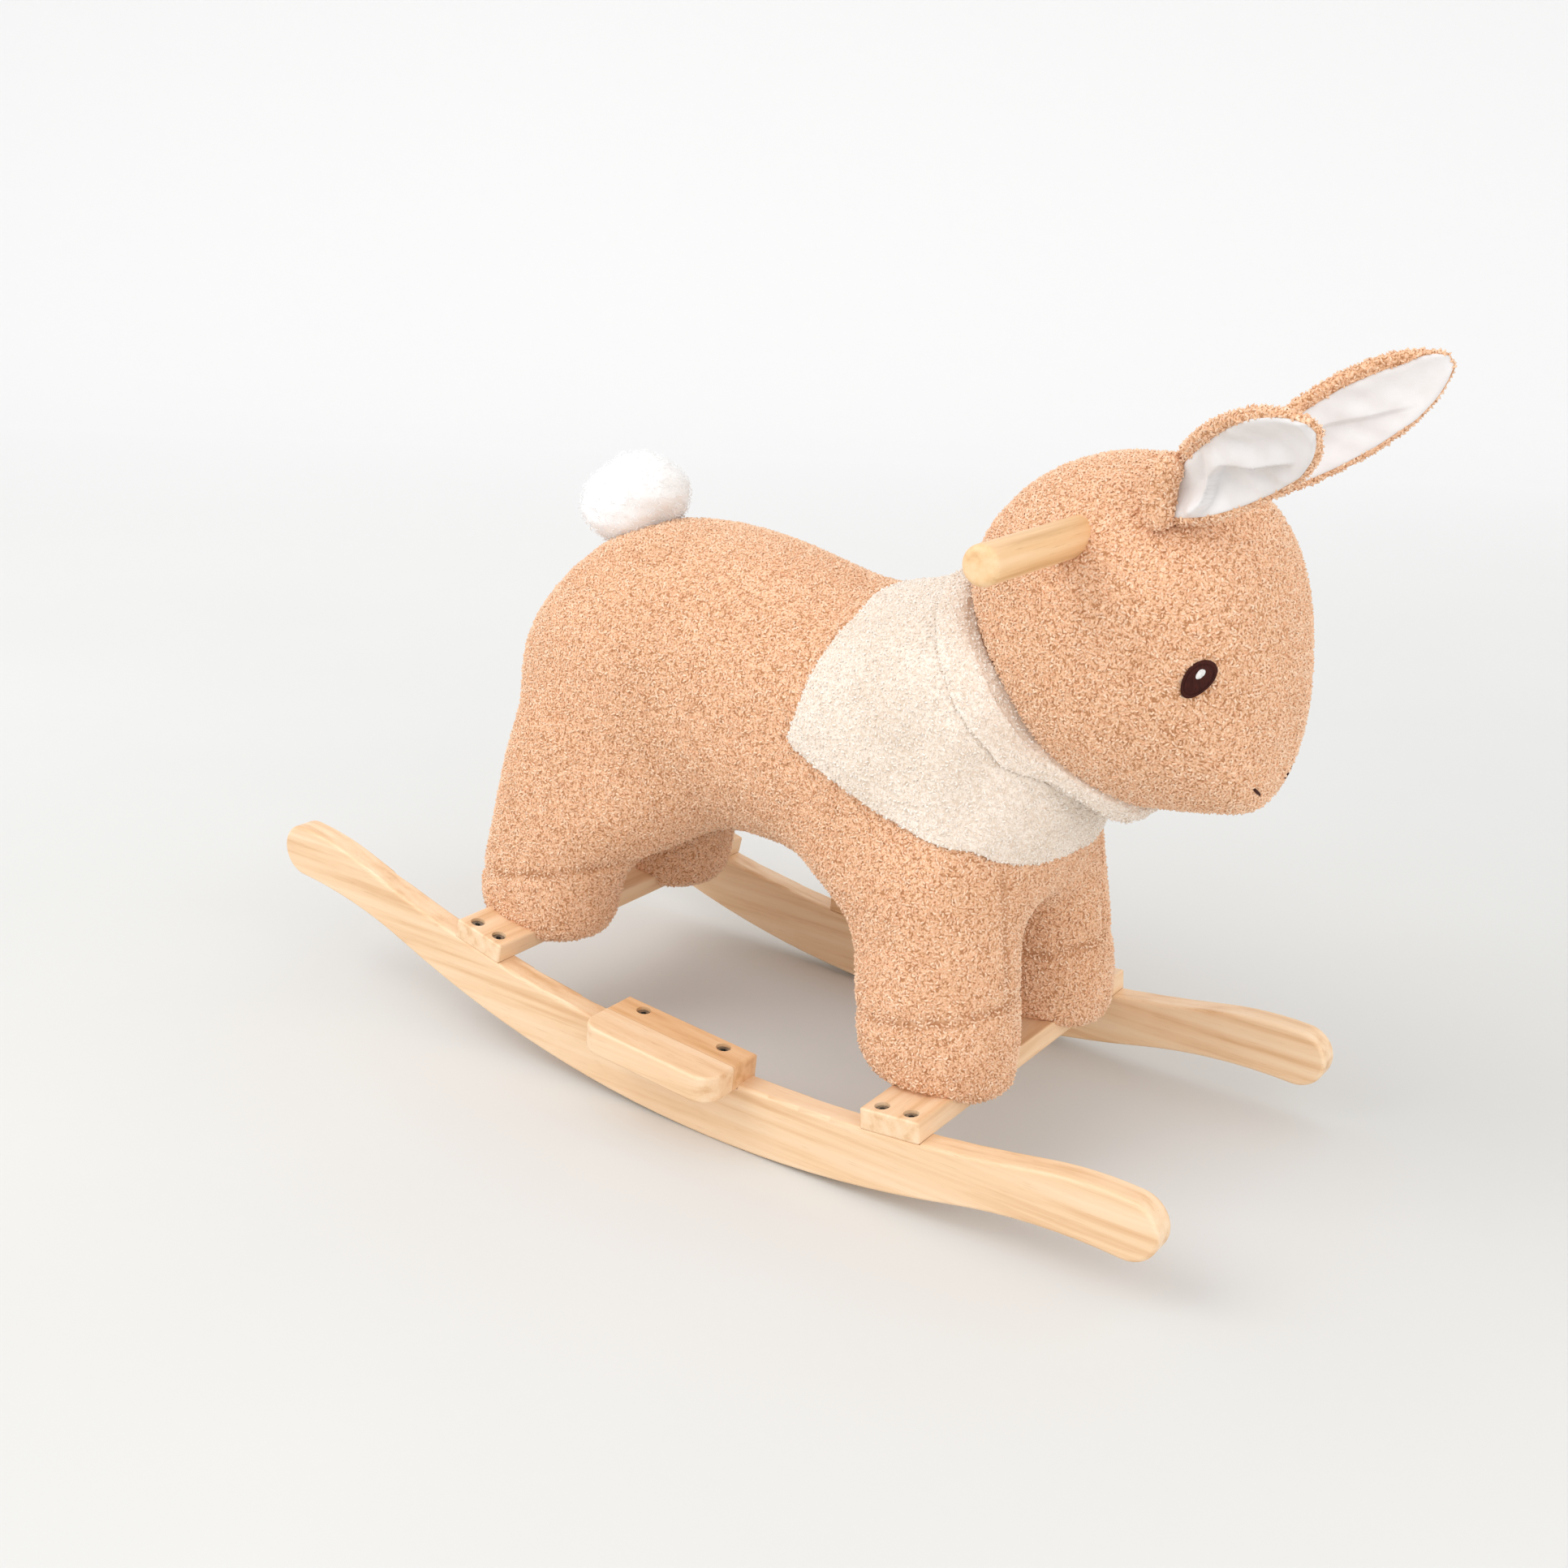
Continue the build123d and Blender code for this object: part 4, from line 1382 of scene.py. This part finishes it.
@dataclass
class Neckerchief:
    """Teddy cloth round the neck: a flap down the right flank, a band round the left and a rolled collar."""

    middle: Triple = (-0.030, 0.0, -0.050)
    axis: Triple = (0.83, 0.0, 0.56)
    thickness: float = 0.003
    stand: float = 0.0006
    loft: float = 0.0012
    # Height of a ripple, its turns round the neck and its lean.
    ripples: tuple[Triple, ...] = ((0.0011, 5.0, 60.0), (0.0008, 11.0, -90.0))
    # The collar's half width, how much wider it is at the flanks, its thickness, and how both waver.
    collar_half: float = 0.0066
    collar_swell: float = 0.0034
    collar_thickness: float = 0.0056
    collar_waver: float = 0.0006
    # How far back the collar lies in half widths, how square its section is, how far it evens out round the
    # neck, its rise at the middle and towards its front and top, and the tuck of its lower front corner.
    collar_back: float = 0.9
    collar_power: float = 0.6
    collar_even: float = 0.35
    collar_rise: Triple = (0.2, -0.55, 0.85)
    tuck: float = 0.006
    ray: float = 0.26
    steps: int = 216
    rows: int = 44
    # Turn round the neck from the nape towards the right flank, and the cloth's edges in mm behind the
    # neck's middle.
    hem: Knots = (
        (-180, 36), (-150, 42), (-120, 52), (-90, 62), (-60, 70), (-30, 77), (0, 84), (27, 91.5), (42, 108),
        (57, 128), (67, 145), (79.4, 131), (100.7, 103), (117.8, 71.6), (128, 55), (142, 47), (162, 38),
        (180, 36),
    )
    neckline: Knots = (
        (-180, -22), (-150, -18.5), (-130, -8), (-106, 6.5), (-64, 13), (-36, 23.5), (0, 30), (36, 23.5),
        (64, 13), (106, 6.5), (130, -8), (150, -18.5), (180, -22),
    )

    def place(self, turn: np.ndarray, back: np.ndarray, reach: np.ndarray) -> np.ndarray:
        """Points round the neck.

        Args:
            turn: Angles from the nape towards the right flank, in radians.
            back: Distances behind the neck's middle.
            reach: Distances out from the neck's axis.

        Returns:
            The points in the frame.
        """
        start = np.array(PLACE.point(HEAD_MIDDLE + Vector(self.middle)))
        forward = PLACE.way(self.axis)
        up = np.array(PLACE.way((-self.axis[2], 0.0, self.axis[0])))
        out = np.cos(turn)[..., None] * up + np.sin(turn)[..., None] * np.array((0.0, -1.0, 0.0))
        return start - np.array(forward) * back[..., None] + out * reach[..., None]

    def reach(self, surface: BVHTree, turn: np.ndarray, back: np.ndarray) -> np.ndarray:
        """How far out the plush reaches at places round the neck.

        Args:
            surface: The plush.
            turn: Angles from the nape towards the right flank, in radians.
            back: Distances behind the neck's middle.

        Returns:
            A distance from the neck's axis for each place.
        """
        far = self.place(turn, back, np.full(turn.shape, self.ray))
        near = self.place(turn, back, np.zeros(turn.shape))
        found = np.full(turn.shape, np.nan)
        for spot in np.ndindex(turn.shape):
            start = Vector(far[spot])
            hit = surface.ray_cast(start, Vector(near[spot]) - start, self.ray)
            if hit[0] is not None:
                found[spot] = self.ray - hit[3]
        return np.where(np.isnan(found), np.nanmin(found), found)

    def lie(self, plush: np.ndarray, rounds: int) -> np.ndarray:
        """Let the cloth span the hollows of the plush under it.

        Args:
            plush: Reach of the plush, by row and place round the neck.
            rounds: How far the cloth evens out.

        Returns:
            Reach of the cloth's inner face.
        """
        cloth = plush.copy()
        for _ in range(rounds):
            padded = np.pad(cloth, ((1, 1), (0, 0)), "edge")
            mean = (padded[:-2] + padded[2:] + np.roll(cloth, 1, 1) + np.roll(cloth, -1, 1)) / 4
            cloth = np.maximum(plush, mean)
        return cloth + self.stand

    def edge(self, knots: Knots, turn: np.ndarray) -> np.ndarray:
        """An edge's distance behind the neck's middle, round the neck."""
        table = np.array(knots)
        return np.interp(np.degrees(turn), table[:, 0], table[:, 1] / 1000)

    def flap(self, surface: BVHTree) -> Piece:
        """The cloth as it lies on the neck and flank.

        Args:
            surface: The plush that it lies on.

        Returns:
            The new piece.
        """
        turn = np.linspace(-math.pi, math.pi, self.steps, endpoint=False)
        share = np.linspace(0, 1, self.rows)[:, None]
        back = self.edge(self.neckline, turn) * (1 - share) + self.edge(self.hem, turn) * share
        turns = np.broadcast_to(turn, back.shape)
        cloth = self.lie(self.reach(surface, turns, back), 60)
        wave = sum(height * np.sin(rounds * turns + lean * back) for height, rounds, lean in self.ripples)
        cloth = cloth + (wave + self.loft) * np.sin(math.pi * share) ** 0.5
        inner = self.place(turns, back, cloth)
        outer = self.place(turns, back, cloth + self.thickness)
        rings = np.concatenate([inner, outer[::-1]]).transpose(1, 0, 2)
        return ring_skin("neckerchief_cloth", rings, looped=True)

    def collar(self, surface: BVHTree) -> Piece:
        """The rolled fold that lies along the neckline.

        Args:
            surface: The plush that it lies on.

        Returns:
            The new piece.
        """
        turn = np.linspace(-math.pi, math.pi, self.steps, endpoint=False)
        around = np.linspace(0, 2 * math.pi, 20, endpoint=False)
        flank = np.exp(-(((np.abs(turn) - math.radians(75)) / math.radians(35)) ** 2))
        half = self.collar_half + self.collar_swell * flank + self.collar_waver * np.sin(7 * turn)
        middle = self.edge(self.neckline, turn) + self.collar_back * half
        ways = (np.cos(around), np.sin(around))
        ahead, above = (np.sign(way) * np.abs(way) ** self.collar_power for way in ways)
        back = middle[None, :] - half[None, :] * ahead[:, None]
        turns = np.broadcast_to(turn, back.shape)
        base = self.lie(self.reach(surface, turns, back), 20) + self.thickness
        tucked = self.tuck * (np.clip(ahead, 0, 1) * np.clip(-above, 0, 1))[:, None]
        back = back - tucked
        thick = self.collar_thickness + self.collar_waver * np.sin(9 * turn + 1.0)
        rise = self.collar_rise[0] + self.collar_rise[1] * ahead + self.collar_rise[2] * above
        even = base.mean(axis=0)[None, :] * self.collar_even + base * (1 - self.collar_even)
        reach = even + thick[None, :] * rise[:, None]
        rings = self.place(turns, back, reach - tucked).transpose(1, 0, 2)
        return ring_skin("neckerchief_collar", rings, looped=True)

    def build(self, surface: BVHTree, tree: PileTree) -> Piece:
        """Make the cloth and lay it on the neck.

        Args:
            surface: The plush that it lies on.
            tree: The curls' geometry tree.

        Returns:
            The cloth.
        """
        cloth = self.flap(surface)
        join(cloth, [self.collar(surface)])
        subdivide(cloth)
        roughen(cloth, grain=0.003, height=0.0008)
        dress(cloth, CREAM_TEDDY.skin())
        curls = CREAM_PILE.grow(tree, cloth, seed=17, covers=[surface])
        for piece in (cloth, *curls):
            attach(piece, FRAME_BODY)
        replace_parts(cloth, "neckerchief")
        return cloth


@dataclass
class Pompom:
    """White fleece ball for a tail: its share of the solid's size, and how it is pressed on the rump."""

    share: float = 0.97
    spread: float = 1.06
    squash: float = 0.86
    sink: float = 0.003

    def build(self, surface: BVHTree, tree: PileTree) -> Piece:
        """Make the ball round the tail's solid, pressed on the rump.

        Args:
            surface: The plush that it sits on.
            tree: The curls' geometry tree.

        Returns:
            The ball.
        """
        low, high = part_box("tail_pompom")
        form = bmesh.new()
        bmesh.ops.create_icosphere(form, subdivisions=5, radius=self.share * (high - low).x / 2,
                                   matrix=Matrix.Translation((low + high) / 2))
        ball = add_piece("tail_fleece", [], [])
        form.to_mesh(ball.data)
        form.free()
        middle = np.array((low + high) / 2)
        away = np.array(surface.find_nearest(Vector(middle))[1])
        skin = Skin(ball)
        out = (skin.points - middle) @ away
        skin.points = middle + self.spread * (skin.points - middle)
        skin.points += np.outer((self.squash - self.spread) * out - self.sink, away)
        skin.write()
        roughen(ball, grain=0.018, height=0.006)
        roughen(ball, grain=0.005, height=0.0008)
        dress(ball, WHITE_FLEECE.skin())
        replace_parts(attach(ball, FRAME_BODY), "tail_pompom")
        for curls in WHITE_PILE.grow(tree, ball, seed=23):
            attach(curls, FRAME_BODY)
        return ball


@dataclass
class Face:
    """Embroidered eyes with their glints, and a short stitch at each corner of the mouth."""

    eye_place: Triple = (0.067, 0.0, 0.001)
    eye_size: tuple[float, float] = (0.0226, 0.0128)
    eye_tilt: float = math.radians(68)
    eye_fullness: float = 0.13
    glint_size: tuple[float, float] = (0.0060, 0.0033)
    glint_shift: tuple[float, float] = (0.0004, 0.0034)
    mouth_drop: float = -0.0783
    mouth_half: float = 0.0290
    mouth_sag: float = 0.0158
    mouth_curve: float = 1.15
    mouth_thread: float = 0.0011
    stitch_start: float = 0.6
    stitch_stand: float = 0.0001
    # How far off the rays start that find the plush at the eyes and at the mouth.
    eye_ray: float = 0.2
    mouth_ray: float = 0.25
    # Share out from an oval's middle, and how far the stitches stand off the plush there.
    eye_heights: Knots = (
        (0.1, 0.0034), (0.3, 0.0034), (0.5, 0.0032), (0.66, 0.0029), (0.75, 0.0026), (0.79, 0.0020),
        (0.83, 0.0026), (0.92, 0.0026), (0.98, 0.0020), (1.0, 0.0010), (0.98, -0.0010),
    )
    glint_heights: Knots = ((0.2, 0.0044), (0.6, 0.0043), (0.85, 0.0039), (1.0, 0.0030), (0.9, 0.0016))

    def spot(self, surface: BVHTree, side: float, along: float, up: float) -> tuple[Vector, Vector]:
        """A point on the side of the head and its outward way, from its place in a side view.

        Args:
            surface: The plush head.
            side: -1 for the right, 1 for the left.
            along: How far ahead of the eye's middle.
            up: How far above it.

        Returns:
            The point and the way.
        """
        start = PLACE.point(HEAD_MIDDLE + Vector(self.eye_place) + Vector((along, side * self.eye_ray, up)))
        place, normal, _, _ = surface.ray_cast(start, Vector((0, -side, 0)))
        return place, normal

    def oval(self, name: str, surface: BVHTree, side: float, size: tuple[float, float],
             shift: tuple[float, float], heights: Knots) -> Piece:
        """A closed domed oval of stitches on the side of the head, fuller at its upper end.

        Args:
            name: Name of the new piece.
            surface: The plush head.
            side: -1 for the right, 1 for the left.
            size: Length and width of the oval.
            shift: Its place from the eye's middle, forward and up.
            heights: Share out from the middle, and how far the stitches stand off the plush there.

        Returns:
            The new piece.
        """
        layers = []
        for share, height in heights:
            row = []
            for turn in np.linspace(0, 2 * math.pi, 48, endpoint=False):
                x = share * size[0] / 2 * math.cos(turn)
                y = share * size[1] / 2 * math.sin(turn) * (1 + self.eye_fullness * math.cos(turn))
                along = x * math.cos(self.eye_tilt) - y * math.sin(self.eye_tilt) + shift[0]
                up = x * math.sin(self.eye_tilt) + y * math.cos(self.eye_tilt) + shift[1]
                place, normal = self.spot(surface, side, along, up)
                row.append(place + normal * height)
            layers.append(row)
        return ring_skin(name, np.array(layers))

    def stroke(self, surface: BVHTree, side: float) -> Piece:
        """Short stitch at one corner of the mouth, low on the muzzle.

        Args:
            surface: The plush head.
            side: -1 for the right, 1 for the left.

        Returns:
            The new piece.
        """
        middle = (1 + self.stitch_start) / 2
        half = (1 - self.stitch_start) / 2
        turns = [2 * math.pi * part / 8 for part in range(8)]
        rings = []
        for share in side * np.linspace(self.stitch_start, 1, 15):
            height = self.mouth_drop + self.mouth_sag * abs(share) ** self.mouth_curve
            start = PLACE.point(HEAD_MIDDLE + Vector((self.mouth_ray, share * self.mouth_half, height)))
            place, normal, _, _ = surface.ray_cast(start, PLACE.way((-1, 0, 0)))
            thick = self.mouth_thread * math.sqrt(max(0.05, 1 - (abs(share) - middle) ** 4 / half ** 4))
            up = PLACE.way((0, 0, 1))
            up = (up - normal * up.dot(normal)).normalized()
            ring = []
            for turn in turns:
                out = self.stitch_stand + thick * math.sin(turn)
                ring.append(place + normal * out + up * thick * math.cos(turn))
            rings.append(ring)
        return ring_skin(f"mouth_stitch_{side:+.0f}", np.array(rings))

    def build(self, surface: BVHTree) -> list[Piece]:
        """Embroider the face.

        Args:
            surface: The plush head.

        Returns:
            The embroidered pieces.
        """
        brown = ThreadFinish("eye_thread", srgb(66, 26, 19)).material()
        white = ThreadFinish("glint_thread", srgb(252, 250, 248)).material()
        made = []
        for side, sign in SIDES.items():
            eye = self.oval(f"eye_{side}_satin", surface, sign, self.eye_size, (0.0, 0.0), self.eye_heights)
            glint = self.oval(f"eye_glint_{side}_satin", surface, sign, self.glint_size, self.glint_shift,
                              self.glint_heights)
            for piece, material, slot in ((eye, brown, "eye_thread"), (glint, white, "glint_thread")):
                dress(piece, material)
                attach(piece, FRAME_BODY)
            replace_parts(eye, f"eye_{side}")
            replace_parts(glint, f"eye_glint_{side}")
            made += [eye, glint]
        mouth, other = (self.stroke(surface, sign) for sign in SIDES.values())
        mouth.name = "mouth_stitch"
        join(mouth, [other])
        dress(mouth, brown)
        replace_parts(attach(mouth, FRAME_BODY), "mouth")
        return [*made, mouth]


@dataclass
class Studio:
    """Camera, lights and a pale sweep."""

    eye: Triple = (0.612751, -0.939101, 0.636940)
    azimuth: float = math.radians(33.5235)
    elevation: float = math.radians(21.7037)
    roll: float = math.radians(6.025)
    lens: float = 41.499
    daylight: float = 1.04
    # Name, place, size and power of each lamp, and where they aim.
    lamps: tuple[tuple[str, Triple, float, float], ...] = (
        ("window", (-1.1, -1.5, 1.9), 1.6, 21.0),
        ("fill", (1.7, -1.0, 0.9), 1.4, 7.5),
    )
    aim: Triple = (0.0, 0.0, 0.2)
    sweep_half: float = 6.0
    sweep_near: float = 0.2
    sweep_back: float = 2.6
    sweep_bend: float = 1.2
    bend_steps: int = 12

    def build(self) -> None:
        """Set the stage."""
        self.place_camera()
        self.light()
        self.sweep()
        bpy.context.scene.view_settings.view_transform = "Standard"

    def place_camera(self) -> None:
        """Camera at the photographed view, which was worked out on the level toy."""
        side = Vector((math.cos(self.azimuth), math.sin(self.azimuth), 0))
        back = Vector((math.sin(self.azimuth) * math.cos(self.elevation),
                       -math.cos(self.azimuth) * math.cos(self.elevation), math.sin(self.elevation)))
        up = back.cross(side)
        right = math.cos(self.roll) * side + math.sin(self.roll) * up
        top = math.cos(self.roll) * up - math.sin(self.roll) * side
        data = bpy.data.cameras.new("camera")
        data.lens = self.lens
        data.sensor_width = 36.0
        camera = bpy.data.objects.new("camera", data)
        axes = Matrix((PLACE.way(right), PLACE.way(top), PLACE.way(back))).transposed()
        camera.matrix_world = Matrix.Translation(PLACE.point(self.eye)) @ axes.to_4x4()
        bpy.context.scene.collection.objects.link(camera)
        bpy.context.scene.camera = camera

    def light(self) -> None:
        """Even daylight, a large soft lamp from the left and above, and a lower one ahead."""
        world = bpy.data.worlds.new("daylight")
        world.use_nodes = True
        ground = world.node_tree.nodes["Background"]
        ground.inputs["Color"].default_value = srgb(253, 253, 253)
        ground.inputs["Strength"].default_value = self.daylight
        bpy.context.scene.world = world
        for name, place, size, power in self.lamps:
            data = bpy.data.lights.new(name, "AREA")
            data.size = size
            data.energy = power
            lamp = bpy.data.objects.new(name, data)
            lamp.location = place
            lamp.rotation_euler = (Vector(self.aim) - Vector(place)).to_track_quat("-Z", "Y").to_euler()
            bpy.context.scene.collection.objects.link(lamp)

    def sweep(self) -> None:
        """Pale floor that runs up into a pale wall behind the toy, painted paler with distance as painted
        light.
        """
        profile = [(-self.sweep_half, 0.0), (self.sweep_back, 0.0)]
        for step in range(1, self.bend_steps + 1):
            angle = step / self.bend_steps * math.pi / 2
            rise = self.sweep_bend * (1 - math.cos(angle))
            profile.append((self.sweep_back + self.sweep_bend * math.sin(angle), rise))
        profile.append((self.sweep_back + self.sweep_bend, self.sweep_half))
        away = -PLACE.way((math.sin(self.azimuth), -math.cos(self.azimuth), 0))
        away = Vector((away.x, away.y, 0)).normalized()
        side = Vector((-away.y, away.x, 0))
        points = []
        for out, up in profile:
            for across in (-self.sweep_half, self.sweep_half):
                points.append(away * out + side * across + Vector((0, 0, up)))
        faces = [(2 * i, 2 * i + 1, 2 * i + 3, 2 * i + 2) for i in range(len(profile) - 1)]
        floor = add_piece("sweep", points, faces)
        work = ShaderWork("pale_sweep")
        cloud = work.noise(work.places, 2.0, 3.0)
        mottle = work.ramp(cloud, ((0.3, srgb(216, 216, 214)), (0.7, srgb(219, 219, 217))))
        # Painted light: the sweep's colour pales with distance from the toy, where the lamps light it less.
        depth = work.value("ShaderNodeVectorMath", {0: work.places, 1: away}, "Value",
                           operation="DOT_PRODUCT")
        far = work.value("ShaderNodeMapRange", {0: depth, 1: self.sweep_near, 2: self.sweep_back})
        colour = work.mix(far, mottle, srgb(244, 244, 244))
        dress(floor, work.finish(base_color=colour, roughness=0.8, specular_ior_level=0.1))


@dataclass
class WoodenParts:
    """The runners, bars, footrests, grip bar, hidden frame and screws, which keep their solids."""

    stave: float = 0.1415

    def dress(self) -> None:
        """Give each wooden node its grain, and each screw its steel."""
        dark = {"pale": srgb(222, 194, 152), "middle": srgb(206, 172, 126), "dark": srgb(182, 144, 98)}
        finishes = {
            "rocker": WoodFinish("runner_wood", Grain.LENGTHWISE),
            "crossbar": WoodFinish("bar_wood", Grain.CROSSWISE, shift=(0.3, 0.1, 0.2)),
            "footrest": WoodFinish("footrest_wood", Grain.LENGTHWISE, shift=(0.7, 0.4, 0.9),
                                   stave=self.stave),
            "dowel": WoodFinish("grip_wood", Grain.CROSSWISE, srgb(243, 207, 163), srgb(236, 194, 144),
                                srgb(216, 170, 116), shift=(0.5, 0.8, 0.1)),
            "post": WoodFinish("post_wood", Grain.UPRIGHT, **dark),
            "board": WoodFinish("board_wood", Grain.LENGTHWISE, **dark),
        }
        materials = {key: finish.material() for key, finish in finishes.items()}
        steel = SteelFinish().material()
        for name, node in frame["nodes"].items():
            if "screw" in name:
                dress_node(node, steel)
                continue
            for key, material in materials.items():
                if key in name:
                    dress_node(node, material)


def dress_node(node: Piece, material: Material) -> None:
    """Give a CAD node a material, leaving its mesh as it is.

    Args:
        node: The node's object.
        material: Its material.
    """
    for slot in node.material_slots:
        slot.link = "OBJECT"
        slot.material = material


def main() -> None:
    """Build the toy's looks, piece by piece."""
    logging.basicConfig(level=logging.INFO, format="%(message)s")
    Studio().build()
    WoodenParts().dress()
    tree = PileTree()
    animal = PlushAnimal()
    animal.build()
    surface = surface_of(animal.trunk, animal.head)
    sewn = [Neckerchief().build(surface, tree), Pompom().build(surface, tree), *Face().build(surface)]
    sewn += [Ear(side, pose).build(tree) for side, pose in EAR_POSES.items()]
    bars = [frame["nodes"][f"{end}_crossbar"] for end in ("front", "rear")]
    animal.finish(tree, [surface_of(*sewn, *bars)])


if __name__ == "__main__":
    main()
